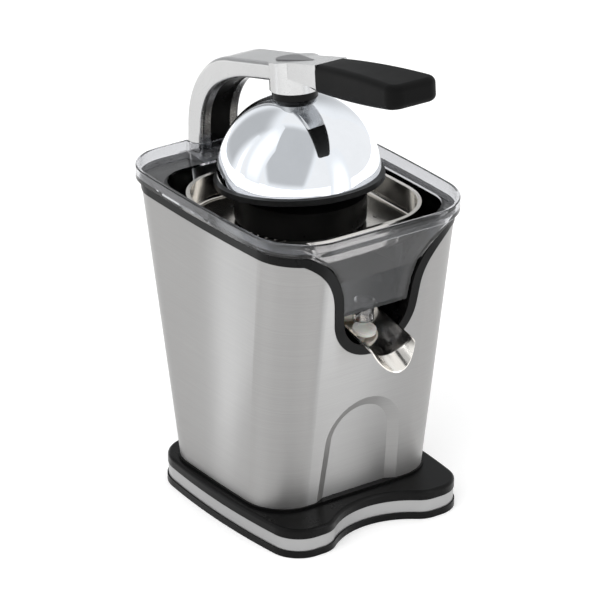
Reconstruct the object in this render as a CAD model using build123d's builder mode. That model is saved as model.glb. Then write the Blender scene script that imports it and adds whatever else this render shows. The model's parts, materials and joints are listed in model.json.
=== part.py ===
from build123d import *
import os
from math import acos, cos, degrees, pi, radians, sin, sqrt, tan

# Electric citrus press with a lever dome, in millimetres.
# The origin is on the floor under the drive axis. +Z is up, -Y is the front, where the spout
# and the grip point, and +X is right seen from the front.
os.makedirs("parts", exist_ok=True)

# Values whose names end in rise are heights above another level, mostly the deck of the upper housing
# Overrun of every cut past the faces that it opens, and the common clearances
overrun = 3.0
running_gap = 0.05
face_gap = 0.1
seat_gap = 0.3

# Base outline: bowed sides and a round notch in the front edge
base_side_margin = 1.8
base_side_bulge = 6.6
base_front_margin = 28.4
base_back_margin = 7.0
base_front_radius = 22.0
base_back_radius = 28.0
notch_depth = 17.0
notch_half_width = 42.0
notch_blend_radius = 20.0
notch_blend_share = 0.6
front_corner_share = 0.66

# Base tray, band and cover, from the floor up
tray_height = 5.0
tray_floor = 2.5
tray_wall = 4.0
tray_proud = 1.0
band_height = 10.0
band_wall = 2.0
cover_height = 7.3
cover_top_wall = 2.5
cover_side_wall = 3.0
cover_proud = 0.6
cover_edge_radius = 2.4
pedestal_height = 1.7
pedestal_proud = 1.5
service_inset = 10.0

# Rubber feet and base screws
foot_radius = 9.0
foot_height = 1.5
foot_edge = 17.5
foot_front_y = 76.0
foot_back_y = 34.0
base_screw_radius = 1.75
base_screw_head_radius = 3.5
base_screw_head_height = 1.4
base_screw_length = 14.0
base_screw_boss_radius = 4.5
base_screw_edge = 13.5
base_screw_front_y = 58.0
base_screw_back_y = 52.0

# Body outline at the foot and at the top of the steel shell
foot_half_width = 73.7
foot_bulge = 1.7
foot_front = 72.1
foot_back = 66.0
foot_corner_radius = 31.0
top_half_width = 80.0
top_bulge = 3.5
top_front = 98.5
top_back = 105.0
top_front_radius = 38.0
top_back_radius = 33.0
shell_height = 200.0
shell_thickness = 0.8

# Arched recess low on the front of the shell
arch_half_width = 36.0
arch_shoulder_half_width = 33.0
arch_shoulder_height = 50.0
arch_height = 79.0
arch_depth = 4.0
arch_bevel = 8.0

# Front cut-out: a round bottom, straight flanks and a flare that runs out at the top
cutout_bottom_rise = -20.5
cutout_radius = 36.0
flank_angle = 84.0
flank_length = 14.0
flare_radius = 48.0
flare_end_angle = 20.0
trim_width = 7.5
trim_height = 8.5
trim_proud = 0.6
trim_depth = 1.0
strip_depth = 3.0
trim_return_wall = 2.0
trim_return_depth = 8.0

# Upper housing: the tub inside the shell, its deck and the bay behind the spout
housing_gap = 0.4
housing_wall = 2.2
deck_drop = 64.0
deck_thickness = 3.0
bearing_boss_radius = 10.5
bearing_boss_drop = 10.0
bearing_boss_rise = 9.0
bay_half_width = 24.0
bay_back = 60.0
bay_wall = 2.0
bay_drop = 21.0
bay_slot_half_width = 12.5

# Rear slot in the housing, the trim and the shell, where the lever hinge stands
hinge_slot_half_width = 25.5
hinge_slot_bottom_rise = 46.0

# Juice bowl: rim, flange, basin, front window, chimney and outlet tube
rim_overhang = 3.5
rim_height = 9.5
rim_wall = 2.6
rim_edge_radius = 1.0
rim_seat_gap = 0.2
flange_thickness = 2.4
flange_rise = 1.6
rim_recess_half_width = 23.0
rim_recess_y = 97.6
rim_recess_radius = 9.0
bowl_wall = 2.4
bowl_floor_level_rise = 16.5
basin_half_width = 76.0
basin_bulge = 2.0
basin_front = 89.0
basin_back = 82.0
basin_radius = 30.0
basin_bottom_half_width = 71.0
basin_bottom_front = 80.0
basin_bottom_back = 66.0
window_gap = 0.8
window_depth = 30.0
window_flare_level_rise = 45.0
window_step = 0.5
chimney_radius = 14.5
chimney_wall = 2.4
chimney_top_rise = 44.0
outlet_y = 77.0
outlet_radius = 7.7
outlet_wall = 1.8
post_radius = 2.5
post_x = 50.0
post_front_y = 50.0
post_back_y = 44.0

# Strainer tray
strainer_half_width = 70.0
strainer_bulge = 1.5
strainer_front = 75.0
strainer_back = 68.0
strainer_radius = 44.0
strainer_floor_rise = 51.2
strainer_sheet = 0.8
strainer_height = 20.0
strainer_rim_width = 2.2
strainer_bend_radius = 4.0
strainer_hole_radius = 20.0
strainer_collar_height = 5.0
drain_hole_radius = 1.6
drain_ring_radii = (28.0, 35.0, 42.0, 54.0)
drain_ring_counts = (24, 30, 36, 12)

# Reamer cone with its skirt
skirt_inset = 11.4
skirt_bottom_rise = 55.6
skirt_top_rise = 76.0
skirt_wall = 2.2
shoulder_radius = 36.0
shoulder_level_rise = 78.4
reamer_mid_radius = 25.0
reamer_mid_level_rise = 94.0
reamer_tip_level_rise = 108.0
reamer_wall = 2.6
rib_count = 10
rib_thickness = 2.4
rib_rise = 4.0
cone_hub_radius = 9.0
cone_hub_bottom_rise = 48.0

# Drive shaft, bushes and seal
shaft_radius = 5.0
shaft_bottom_rise = -56.0
hex_bottom_rise = 52.0
hex_top_rise = 72.0
bush_radius = 8.0
bush_length = 14.0
seal_height = 5.0
press_travel = 3.0

# Gear train
pressure_angle = 20.0
backlash = 0.3
addendum_share = 0.78
dedendum_share = 1.2
output_module = 1.75
output_teeth = 40
idler_pinion_teeth = 12
motor_module = 1.5
idler_wheel_teeth = 40
motor_pinion_teeth = 12
output_gear_level_rise = -24.0
output_gear_face = 10.0
output_hub_radius = 10.0
output_hub_drop = 6.0
idler_wheel_level_rise = -36.0
idler_wheel_face = 6.0
idler_pinion_face = 19.0
idler_pin_radius = 3.0
motor_angle = -20.0
motor_pinion_level_rise = -36.4
motor_pinion_face = 7.0

# Gearbox plate and its pillars
plate_level_rise = -42.0
plate_thickness = 4.0
plate_inset = 14.0
pillar_radius = 5.0
pillar_x = 52.0
pillar_y = 50.0

# Motor
stator_radius = 30.0
stator_level_rise = -98.0
stator_height = 34.0
rotor_radius = 17.0
air_gap = 0.5
rotor_overhang = 2.0
motor_shaft_radius = 4.0
motor_cap_wall = 2.5
motor_cap_depth = 18.0
motor_bearing_radius = 8.0

# Thrust cup, spring, bracket and switch under the shaft
cup_radius = 9.0
cup_height = 6.0
cup_tab_half_width = 4.0
cup_tab_reach = 27.0
cup_tab_height = 3.0
spring_spigot_radius = 4.6
spring_spigot_height = 3.0
spring_coil_radius = 6.0
spring_wire_radius = 0.6
spring_turns = 5
spring_seat_level_rise = -79.0
strap_thickness = 3.0
strap_half_width = 6.0
strap_x = 16.0
switch_half_width = 4.0
switch_length = 16.0
switch_height = 11.0
plunger_radius = 1.5
plunger_length = 7.0
plunger_y = 22.0

# Lever hinge: the lever is drawn pressed down, and stands raised by the rest lift
hinge_y = 110.5
hinge_z_rise = 61.0
rest_lift = 5.8
hinge_pin_radius = 4.0
hinge_bush_radius = 6.0
hinge_bush_length = 14.0
ear_radius = 11.0
ear_thickness = 6.0
washer_thickness = 0.8
washer_radius = 9.0
clip_thickness = 1.0
clip_radius = 6.5
pin_stub = 1.3
bracket_front = 86.0
bracket_plate = 7.0
bracket_bottom_rise = 24.0
bracket_top_rise = 70.0
bracket_screw_radius = 2.0
bracket_screw_head_radius = 3.8
bracket_screw_head_height = 2.0
bracket_screw_length = 9.5
bracket_screw_x = 14.0
bracket_screw_level_rise = 32.0
bracket_boss_half_width = 5.0
bracket_boss_depth = 3.4

# Lever arm, seen from the side: a leaning post, two bends and the top run to the hub
arm_half_width = 17.0
arm_half_depth = 9.4
arm_outer_drop = 29.0
arm_inner_drop = 26.0
arm_outer_first_radius = 70.0
arm_inner_first_radius = 48.0
arm_outer_second_radius = 60.0
arm_inner_second_radius = 116.0
arm_first_turn = 56.2
arm_second_turn = 20.0
arm_edge_radius = 3.0
channel_half_width = 8.6
channel_depth = 2.4
insert_depth = 1.6

# Hub, neck and handle of the lever
hub_radius = 18.0
collar_height = 5.6
hub_crest_y = 5.5
neck_half_width = 13.8
neck_end_y = 46.0
neck_root_rise = 12.0
neck_end_bottom_rise = 8.6
neck_end_top_rise = 29.5
neck_facet = 3.0
tang_half_width = 9.0
tang_thickness = 6.0
tang_length = 60.0
grip_end_y = 146.0
grip_root_half_width = 14.2
grip_end_half_width = 21.5
grip_end_bottom_rise = 19.0
grip_end_top_rise = 36.0
grip_crown = 1.6
grip_corner_radius = 10.0
grip_edge_radius = 5.0

# Cap and screw of the hub
cap_round_radius = 9.0
cap_tip_radius = 1.2
cap_rear_y = 6.0
cap_length = 30.0
cap_thickness = 1.6
cap_sink = 1.0
hub_screw_radius = 3.0
hub_screw_head_radius = 6.0
hub_screw_head_height = 5.0
hub_screw_length = 20.0
hub_screw_seat = 12.0

# Dome: chromed shell, black liner with the edge ring, and the collar under the hub
dome_radius = 59.0
dome_level_rise = 77.3
dome_sheet = 1.2
dome_lip = 1.8
dome_neck_radius = 13.0
liner_gap = 0.3
liner_wall = 3.2
ring_proud = 2.6
ring_height = 4.2
liner_rib_count = 8
liner_rib_thickness = 2.0
liner_rib_depth = 3.0
collar_radius = 16.6

# Spout: a bent steel channel with its carrier, pad, pin and cradle
spout_pivot_y = 46.0
spout_pivot_z_rise = -10.0
spout_tilt = 11.2
spout_radius = 21.3
spout_sheet = 1.0
spout_channel_depth = 11.5
spout_rim_y = 77.0
spout_rim_level_rise = 2.3
spout_back_y = 68.0
spout_lip_run = 41.0
spout_lip_turn = 16.0
spout_lip_bend_radius = 12.0
spout_nose_y = 111.0
spout_tip_y = 120.5
carrier_half_width = 10.6
carrier_thickness = 3.0
carrier_run = 22.0
carrier_seat = 2.5
knuckle_radius = 5.0
spout_pin_radius = 2.0
cradle_thickness = 4.0
cradle_depth = 12.0
cradle_bridge = 2.0
cradle_gap = 0.4
pad_radius = 8.6
pad_lift = 2.2
pad_thickness = 2.6
pad_dish_depth = 0.8
pad_dish_radius = 5.5
pad_stem_radius = 3.0

# Cord gland in the back of the shell
gland_level = 40.0
gland_flange_radius = 8.5
gland_flange_thickness = 2.5
gland_barrel_radius = 6.0
gland_bore_radius = 3.75

# Levels and places that follow from the sizes above
base_half_width = foot_half_width + base_side_margin
base_front = foot_front + base_front_margin
base_back = foot_back + base_back_margin
cover_level = tray_height + band_height
cover_top = cover_level + cover_height
foot_level = cover_top + pedestal_height
shell_top = foot_level + shell_height
deck_level = shell_top - deck_drop
cutout_bottom = deck_level + cutout_bottom_rise
hinge_slot_bottom = deck_level + hinge_slot_bottom_rise
bowl_floor_level = deck_level + bowl_floor_level_rise
chimney_top = deck_level + chimney_top_rise
strainer_floor = deck_level + strainer_floor_rise
skirt_bottom = deck_level + skirt_bottom_rise
skirt_top = deck_level + skirt_top_rise
shoulder_level = deck_level + shoulder_level_rise
reamer_mid_level = deck_level + reamer_mid_level_rise
reamer_tip_level = deck_level + reamer_tip_level_rise
cone_hub_bottom = deck_level + cone_hub_bottom_rise
shaft_bottom = deck_level + shaft_bottom_rise
hex_bottom = deck_level + hex_bottom_rise
hex_top = deck_level + hex_top_rise
output_gear_level = deck_level + output_gear_level_rise
idler_wheel_level = deck_level + idler_wheel_level_rise
motor_pinion_level = deck_level + motor_pinion_level_rise
plate_level = deck_level + plate_level_rise
stator_level = deck_level + stator_level_rise
spring_seat_level = deck_level + spring_seat_level_rise
hinge_z = deck_level + hinge_z_rise
bracket_bottom = deck_level + bracket_bottom_rise
bracket_top = deck_level + bracket_top_rise
bracket_screw_level = deck_level + bracket_screw_level_rise
dome_level = deck_level + dome_level_rise
spout_pivot_z = deck_level + spout_pivot_z_rise
spout_rim_level = deck_level + spout_rim_level_rise
window_flare_level = deck_level + window_flare_level_rise
trim_top = shell_top + trim_height
rim_bottom = trim_top + rim_seat_gap
rim_top = rim_bottom + rim_height
housing_inset = shell_thickness + housing_gap
front_reach = top_front + overrun * overrun
idler_y = output_module * (output_teeth + idler_pinion_teeth) / 2
motor_distance = motor_module * (idler_wheel_teeth + motor_pinion_teeth) / 2
motor_x = motor_distance * cos(radians(motor_angle))
motor_y = idler_y + motor_distance * sin(radians(motor_angle))
cup_bottom = shaft_bottom - cup_height
ear_inner = arm_half_width + washer_thickness + 2 * face_gap
ear_outer = ear_inner + ear_thickness
foot_x = base_half_width - foot_edge
foot_places = [(x, y) for x in (-foot_x, foot_x) for y in (-foot_front_y, foot_back_y)]
base_screw_x = base_half_width - base_screw_edge
base_screw_rows = (-base_screw_front_y, base_screw_back_y)
base_screw_places = [(x, y) for x in (-base_screw_x, base_screw_x) for y in base_screw_rows]
pillar_places = [(x, y) for x in (-pillar_x, pillar_x) for y in (-pillar_y, pillar_y)]
post_places = [(x, y) for x in (-post_x, post_x) for y in (-post_front_y, post_back_y)]
ring_radius = dome_radius + ring_proud
skirt_radius = dome_radius - skirt_inset
hub_bottom = dome_level + sqrt(dome_radius**2 - collar_radius**2) + collar_height
hub_screw_head_level = hub_bottom + hub_screw_seat
arm_outer_rise = dome_radius - arm_outer_drop
arm_inner_rise = dome_radius - arm_inner_drop
neck_root_bottom = hub_bottom + neck_root_rise
neck_end_bottom = hub_bottom + neck_end_bottom_rise
neck_end_top = hub_bottom + neck_end_top_rise
grip_end_bottom = hub_bottom + grip_end_bottom_rise
grip_end_top = hub_bottom + grip_end_top_rise
bottom_up = (Align.CENTER, Align.CENTER, Align.MIN)
tilt = radians(spout_tilt)
cradle_inner = carrier_half_width + cradle_gap
cradle_outer = cradle_inner + cradle_thickness


def along_spout(run, height):
    """Point in the YZ plane at a run along the rim of the spout and a height square to it."""
    start_z = spout_rim_level + (spout_rim_y - spout_back_y) * tan(tilt)
    return (
        -spout_back_y - run * cos(tilt) - height * sin(tilt),
        start_z - run * sin(tilt) + height * cos(tilt),
    )


# The pad stands where the raised spout brings it under the outlet, which ends a gap above it
spout_floor = spout_channel_depth - spout_sheet
rim_start = along_spout(0, 0)
start_run = (-spout_pivot_y - rim_start[0]) * cos(tilt) - (rim_start[1] - spout_pivot_z) * sin(tilt)
start_height = (-spout_pivot_y - rim_start[0]) * sin(tilt) + (rim_start[1] - spout_pivot_z) * cos(tilt)
pad_run = outlet_y - spout_pivot_y - start_run
outlet_end = spout_pivot_z + start_height - spout_floor + pad_lift + pad_thickness + seat_gap


def mix(low, high, share):
    """Value between two values, or beyond them, at a share of the way."""
    return low + (high - low) * share


def finish(part, name):
    """Label a finished piece and write its file."""
    part.label = name
    export_step(part, f"parts/{name}.step")


def base_outline(level, grow):
    """Plan outline of the base at a level, moved out by grow."""
    middle = (base_back - base_front) / 2
    lobe = base_half_width - notch_half_width
    with BuildSketch(Plane.XY.offset(level)) as plan:
        with BuildLine():
            ThreePointArc(
                (-base_half_width, base_back),
                (-base_half_width - base_side_bulge, middle),
                (-base_half_width, -base_front),
            )
            Line((-base_half_width, -base_front), (-notch_half_width, -base_front))
            ThreePointArc(
                (-notch_half_width, -base_front),
                (0, notch_depth - base_front),
                (notch_half_width, -base_front),
            )
            Line((notch_half_width, -base_front), (base_half_width, -base_front))
            ThreePointArc(
                (base_half_width, -base_front),
                (base_half_width + base_side_bulge, middle),
                (base_half_width, base_back),
            )
            Line((base_half_width, base_back), (-base_half_width, base_back))
        make_face()
        front_row = plan.vertices().group_by(Axis.Y)[0].sort_by(Axis.X)
        fillet(front_row[1:3], min(notch_blend_radius, lobe * notch_blend_share))
        fillet(plan.vertices().group_by(Axis.Y)[-1], base_back_radius)
        ends = plan.vertices().group_by(Axis.Y)[0].sort_by(Axis.X)
        fillet([ends[0], ends[-1]], min(base_front_radius, lobe * front_corner_share))
        if grow:
            offset(amount=grow)
    return plan.sketch


def outline(level, half_width, bulge, front, back, front_radius, back_radius):
    """Plan outline with bowed sides and rounded corners at a level."""
    middle = (back - front) / 2
    with BuildSketch(Plane.XY.offset(level)) as plan:
        with BuildLine():
            ThreePointArc((-half_width, back), (-half_width - bulge, middle), (-half_width, -front))
            Line((-half_width, -front), (half_width, -front))
            ThreePointArc((half_width, -front), (half_width + bulge, middle), (half_width, back))
            Line((half_width, back), (-half_width, back))
        make_face()
        fillet(plan.vertices().group_by(Axis.Y)[0], front_radius)
        fillet(plan.vertices().group_by(Axis.Y)[-1], back_radius)
    return plan.sketch


def body_outline(level, inset):
    """Plan outline of the flared body at a level, moved in by inset."""
    share = (level - foot_level) / shell_height
    return outline(
        level,
        mix(foot_half_width, top_half_width, share) - inset,
        mix(foot_bulge, top_bulge, share),
        mix(foot_front, top_front, share) - inset,
        mix(foot_back, top_back, share) - inset,
        mix(foot_corner_radius, top_front_radius, share) - inset,
        mix(foot_corner_radius, top_back_radius, share) - inset,
    )


def body_block(bottom, top, inset):
    """The two outlines of a slice of the flared body, for a loft."""
    return [body_outline(bottom, inset), body_outline(top, inset)]


def cutout_outline(inset, bottom):
    """Front cut-out seen from the front, moved in by inset and open to above the rim."""
    lean = radians(flank_angle)
    end = radians(flare_end_angle)
    top = rim_top + overrun
    round_radius = cutout_radius - inset
    curl_radius = flare_radius + inset
    centre_z = cutout_bottom + cutout_radius
    round_x = round_radius * sin(lean)
    round_z = centre_z - round_radius * cos(lean)
    flank_x = round_x + flank_length * cos(lean)
    flank_z = round_z + flank_length * sin(lean)
    curl_x = flank_x + curl_radius * sin(lean)
    curl_z = flank_z - curl_radius * cos(lean)
    half = (lean + end) / 2
    with BuildSketch(Plane.XZ) as front:
        with BuildLine():
            ThreePointArc(
                (0, centre_z - round_radius),
                (round_radius * sin(lean / 2), centre_z - round_radius * cos(lean / 2)),
                (round_x, round_z),
            )
            Line((round_x, round_z), (flank_x, flank_z))
            ThreePointArc(
                (flank_x, flank_z),
                (curl_x - curl_radius * sin(half), curl_z + curl_radius * cos(half)),
                (curl_x - curl_radius * sin(end), curl_z + curl_radius * cos(end)),
            )
            Polyline(
                (curl_x - curl_radius * sin(end), curl_z + curl_radius * cos(end)),
                (curl_x - curl_radius * sin(end), top + curl_radius),
                (0, top + curl_radius),
            )
            mirror(about=Plane.YZ)
        make_face()
        with Locations((0, bottom)):
            Rectangle(front_reach * 2, curl_radius * 2, align=(Align.CENTER, Align.MAX), mode=Mode.SUBTRACT)
        with Locations((0, top)):
            Rectangle(front_reach * 2, curl_radius * 2, align=(Align.CENTER, Align.MIN), mode=Mode.SUBTRACT)
    return front.sketch


def arch_outline(depth, shift):
    """Bevelled arch on a plane at a depth behind the front face, itself moved back by a shift."""
    narrow = arch_bevel * depth / arch_depth
    plane = Plane(
        origin=(0, shift + depth - foot_front, foot_level),
        x_dir=(1, 0, 0),
        z_dir=(0, -shell_height, foot_front - top_front),
    )
    with BuildSketch(plane) as front:
        with BuildLine():
            foot = (narrow - arch_half_width, -overrun * 2)
            shoulder = (narrow - arch_shoulder_half_width, arch_shoulder_height)
            crown = (0, arch_height - narrow)
            Line(foot, shoulder)
            ThreePointArc(shoulder, crown, (-shoulder[0], shoulder[1]))
            Line((-shoulder[0], shoulder[1]), (-foot[0], foot[1]))
            Line((-foot[0], foot[1]), foot)
        make_face()
    return front.sketch


def arch_block(shift):
    """The bevelled recess as a solid, for a skin that lies a shift behind the front face."""
    with BuildPart() as block:
        loft([arch_outline(-overrun, shift), arch_outline(arch_depth, shift)], ruled=True)
    return block.part


def body_hollow(bottom, top, inset):
    """Inside of a skin of the flared body, kept clear of the recess that is pressed into it."""
    with BuildPart() as hollow:
        loft(body_block(bottom, top, inset), ruled=True)
        add(arch_block(inset), mode=Mode.SUBTRACT)
    return hollow.part


def gear_outline(plane, module, teeth, phase, bore):
    """Involute gear with a tooth centred at the phase angle, thinned by the backlash."""
    pitch_radius = module * teeth / 2
    base_radius = pitch_radius * cos(radians(pressure_angle))
    tip_radius = pitch_radius + module * addendum_share
    root_radius = pitch_radius - module * dedendum_share
    foot = max(base_radius, root_radius)

    def half_angle(radius):
        slope = acos(base_radius / radius)
        pitch_slope = radians(pressure_angle)
        thickness = pi / 2 / teeth - backlash / 4 / pitch_radius
        return thickness + (tan(pitch_slope) - pitch_slope) - (tan(slope) - slope)

    flank = [(root_radius, half_angle(foot)), (foot, half_angle(foot))]
    flank += [(mix(foot, tip_radius, share), half_angle(mix(foot, tip_radius, share))) for share in (0.5, 1)]
    if root_radius >= base_radius:
        flank = flank[1:]
    points = []
    for tooth in range(teeth):
        centre = radians(phase) + 2 * pi * tooth / teeth
        points += [(r * cos(centre - a), r * sin(centre - a)) for r, a in flank]
        points += [(r * cos(centre + a), r * sin(centre + a)) for r, a in reversed(flank)]
    with BuildSketch(plane) as gear:
        with BuildLine():
            Polyline(*points, close=True)
        make_face()
        Circle(bore, mode=Mode.SUBTRACT)
    return gear.sketch


# Base tray: a shallow open box with seats for the feet and the screw heads
with BuildPart() as base_tray:
    extrude(base_outline(0, tray_proud), amount=tray_height)
    extrude(base_outline(tray_floor, -tray_wall), amount=tray_height, mode=Mode.SUBTRACT)
    with Locations(*foot_places):
        Cylinder(foot_radius + seat_gap, foot_height, align=bottom_up, mode=Mode.SUBTRACT)
    with Locations(*base_screw_places):
        Cylinder(base_screw_radius + face_gap, tray_height, align=bottom_up, mode=Mode.SUBTRACT)
        Cylinder(
            base_screw_head_radius + seat_gap, base_screw_head_height, align=bottom_up, mode=Mode.SUBTRACT
        )
finish(base_tray.part, "base_tray")

# Rubber feet, let into the tray flush with its bottom
with BuildPart() as rubber_feet:
    with Locations(*foot_places):
        Cylinder(foot_radius, foot_height, align=bottom_up)
finish(rubber_feet.part, "rubber_feet")

# Base band
with BuildPart() as base_band:
    extrude(base_outline(tray_height, 0), amount=band_height)
    extrude(base_outline(tray_height, -band_wall), amount=band_height, mode=Mode.SUBTRACT)
finish(base_band.part, "base_band")

# Base cover: a lid with a low pedestal for the body and bosses for the base screws
with BuildPart() as base_cover:
    extrude(base_outline(cover_level, cover_proud), amount=cover_height)
    fillet(base_cover.faces().sort_by(Axis.Z)[-1].edges(), cover_edge_radius)
    extrude(
        base_outline(cover_level, -cover_side_wall), amount=cover_height - cover_top_wall, mode=Mode.SUBTRACT
    )
    extrude(body_outline(cover_top, -pedestal_proud), amount=pedestal_height)
    with Locations(*[(x, y, tray_floor) for x, y in base_screw_places]):
        Cylinder(base_screw_boss_radius, cover_top - tray_floor - cover_top_wall / 2, align=bottom_up)
    extrude(body_outline(cover_level, service_inset), amount=cover_height * 2, mode=Mode.SUBTRACT)
    with Locations(*[(x, y, tray_floor) for x, y in base_screw_places]):
        Cylinder(base_screw_radius + running_gap, base_screw_length, align=bottom_up, mode=Mode.SUBTRACT)
finish(base_cover.part, "base_cover")

# Base screws, up through the tray into the bosses of the cover
with BuildPart() as base_screws:
    with Locations(*base_screw_places):
        Cylinder(base_screw_head_radius, base_screw_head_height, align=bottom_up)
        Cylinder(base_screw_radius, base_screw_length, align=bottom_up)
finish(base_screws.part, "base_screws")

# Steel shell: the flared skin with its arched recess, front cut-out, hinge slot and gland hole
back_slope = degrees(acos(shell_height / sqrt(shell_height**2 + (top_back - foot_back) ** 2)))
gland_y = mix(foot_back, top_back, (gland_level - foot_level) / shell_height)
gland_plane = Plane(
    origin=(0, gland_y, gland_level),
    x_dir=(1, 0, 0),
    z_dir=(0, cos(radians(back_slope)), -sin(radians(back_slope))),
)

with BuildPart() as hinge_slot:
    with Locations((0, hinge_y, hinge_slot_bottom)):
        Box(
            hinge_slot_half_width * 2,
            (hinge_y - bracket_front) * 2,
            rim_top - hinge_slot_bottom,
            align=bottom_up,
        )

with BuildPart() as steel_shell:
    loft(body_block(foot_level, shell_top, 0), ruled=True)
    add(arch_block(0), mode=Mode.SUBTRACT)
    add(body_hollow(foot_level - overrun, shell_top + overrun, shell_thickness), mode=Mode.SUBTRACT)
    extrude(cutout_outline(0, cutout_bottom - overrun), amount=front_reach, mode=Mode.SUBTRACT)
    add(hinge_slot.part, mode=Mode.SUBTRACT)
    with BuildSketch(gland_plane):
        Circle(gland_barrel_radius + face_gap)
    extrude(amount=overrun, both=True, mode=Mode.SUBTRACT)
finish(steel_shell.part, "steel_shell")

# Top trim: a strip round the top of the shell that runs down along the front cut-out
trim_low = cutout_bottom - overrun
with BuildPart() as trim_waste:
    with Locations((0, 0, shell_top)):
        Box(
            front_reach * 4,
            front_reach * 4,
            shell_top - trim_low + overrun,
            align=(Align.CENTER, Align.CENTER, Align.MAX),
        )
    extrude(cutout_outline(face_gap, trim_low), amount=front_reach * 2, mode=Mode.SUBTRACT)

with BuildPart() as trim_return:
    extrude(cutout_outline(trim_width - trim_return_wall, spout_rim_level), amount=front_reach)
    loft(body_block(trim_low, trim_top, 0), ruled=True, mode=Mode.INTERSECT)
    loft(
        body_block(trim_low - overrun, trim_top + overrun, trim_return_depth), ruled=True, mode=Mode.SUBTRACT
    )

with BuildPart() as top_trim:
    loft(body_block(trim_low, trim_top, -trim_proud), ruled=True)
    loft(body_block(trim_low - overrun, shell_top, trim_depth), ruled=True, mode=Mode.SUBTRACT)
    loft(body_block(shell_top, trim_top + overrun, strip_depth), ruled=True, mode=Mode.SUBTRACT)
    add(trim_waste.part, mode=Mode.SUBTRACT)
    add(trim_return.part)
    extrude(cutout_outline(trim_width, trim_low), amount=front_reach, mode=Mode.SUBTRACT)
    add(hinge_slot.part, mode=Mode.SUBTRACT)
finish(top_trim.part, "top_trim")

# Upper housing: the tub wall, the deck with its bearing boss, and the bay behind the spout
housing_inner = housing_inset + housing_wall
boss_gap = bracket_front + bracket_plate
bay_bottom = deck_level - bay_drop
bay_front = mix(foot_front, top_front, (bay_bottom - foot_level) / shell_height) - housing_inner - seat_gap
housing_cut_inset = trim_width - trim_return_wall - seat_gap
with BuildPart() as upper_housing:
    loft(body_block(deck_level, shell_top, housing_inset), ruled=True)
    loft(body_block(deck_level, shell_top, housing_inner), ruled=True, mode=Mode.SUBTRACT)
    extrude(body_outline(deck_level, housing_inset + housing_wall / 2), amount=deck_thickness)
    with Locations((0, 0, deck_level - bearing_boss_drop)):
        Cylinder(
            bearing_boss_radius, bearing_boss_drop + deck_thickness + bearing_boss_rise, align=bottom_up
        )
    with Locations((0, -bay_back, deck_level - bay_drop)):
        Box(
            (bay_half_width + bay_wall) * 2,
            bay_wall,
            bay_drop + deck_thickness,
            align=(Align.CENTER, Align.MIN, Align.MIN),
        )
    for side in (-1, 1):
        with Locations((side * (bay_half_width + bay_wall / 2), -bay_back, deck_level)):
            Box(
                bay_wall,
                bay_front - bay_back,
                bay_drop,
                align=(Align.CENTER, Align.MAX, Align.MAX),
            )
        with Locations((side * bracket_screw_x, boss_gap, bracket_screw_level)):
            Box(
                bracket_boss_half_width * 2,
                bracket_boss_depth,
                bracket_boss_half_width * 2,
                align=(Align.CENTER, Align.MIN, Align.CENTER),
            )
    with Locations((0, -bay_back, deck_level)):
        Box(
            bay_half_width * 2,
            front_reach - bay_back,
            deck_thickness * 2,
            align=(Align.CENTER, Align.MAX, Align.CENTER),
            mode=Mode.SUBTRACT,
        )
    with Locations((0, -bay_back, deck_level)):
        Box(bay_slot_half_width * 2, bay_wall * 4, bay_drop * 2, mode=Mode.SUBTRACT)
    front_cut = Pos(0, overrun - bay_front, 0) * cutout_outline(housing_cut_inset, trim_low)
    extrude(front_cut, amount=front_reach, mode=Mode.SUBTRACT)
    add(hinge_slot.part, mode=Mode.SUBTRACT)
    with BuildSketch(Plane.XY.offset(deck_level - bearing_boss_drop)):
        Circle(bush_radius + running_gap)
    extrude(amount=bearing_boss_drop * 4, mode=Mode.SUBTRACT)
    with Locations(*[(x, y, deck_level) for x, y in pillar_places]):
        Cylinder(base_screw_radius, deck_thickness * 2, mode=Mode.SUBTRACT)
    with BuildSketch(Plane.XZ.offset(-boss_gap)):
        with Locations((-bracket_screw_x, bracket_screw_level), (bracket_screw_x, bracket_screw_level)):
            Circle(bracket_screw_radius + running_gap)
    extrude(amount=-bracket_screw_length, mode=Mode.SUBTRACT)
finish(upper_housing.part, "upper_housing")

# Lower housing: the carcass under the deck that backs the steel skin
with BuildPart() as lower_housing:
    loft(body_block(foot_level, deck_level, housing_inset), ruled=True)
    add(arch_block(housing_inset), mode=Mode.SUBTRACT)
    add(body_hollow(foot_level - overrun, deck_level + overrun, housing_inner), mode=Mode.SUBTRACT)
    extrude(cutout_outline(0, trim_low), amount=front_reach, mode=Mode.SUBTRACT)
    with BuildSketch(gland_plane):
        Circle(gland_flange_radius + seat_gap)
    extrude(amount=overrun * 2, both=True, mode=Mode.SUBTRACT)
finish(lower_housing.part, "lower_housing")

# Juice bowl: a clear basin with a window that fills the front cut-out, a rim and an outlet tube
basin_top = (basin_half_width, basin_bulge, basin_front, basin_back, basin_radius, basin_radius)
basin_bottom = (
    basin_bottom_half_width, basin_bulge, basin_bottom_front, basin_bottom_back, basin_radius, basin_radius
)


def basin_block(bottom, inset):
    """The two outlines of the basin, moved in by inset, from a bottom level to the rim."""
    low, bulge, front, back, front_radius, back_radius = basin_bottom
    wide, top_bow, top_y, top_back_y, top_r, top_back_r = basin_top
    return [
        outline(
            bottom,
            low - inset,
            bulge,
            front - inset,
            back - inset,
            front_radius - inset,
            back_radius - inset,
        ),
        outline(
            rim_bottom + flange_thickness,
            wide - inset,
            top_bow,
            top_y - inset,
            top_back_y - inset,
            top_r - inset,
            top_back_r - inset,
        ),
    ]


def window_skin(inset, top):
    """Body shape behind the window, which flares out to the rim above the flare level."""
    upright = body_block(trim_low, window_flare_level, trim_depth + inset)
    flared = [upright[1], body_outline(top, window_step - rim_overhang + inset)]
    with BuildPart() as skin:
        loft(upright, ruled=True)
        loft(flared, ruled=True)
    return skin.part


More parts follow.
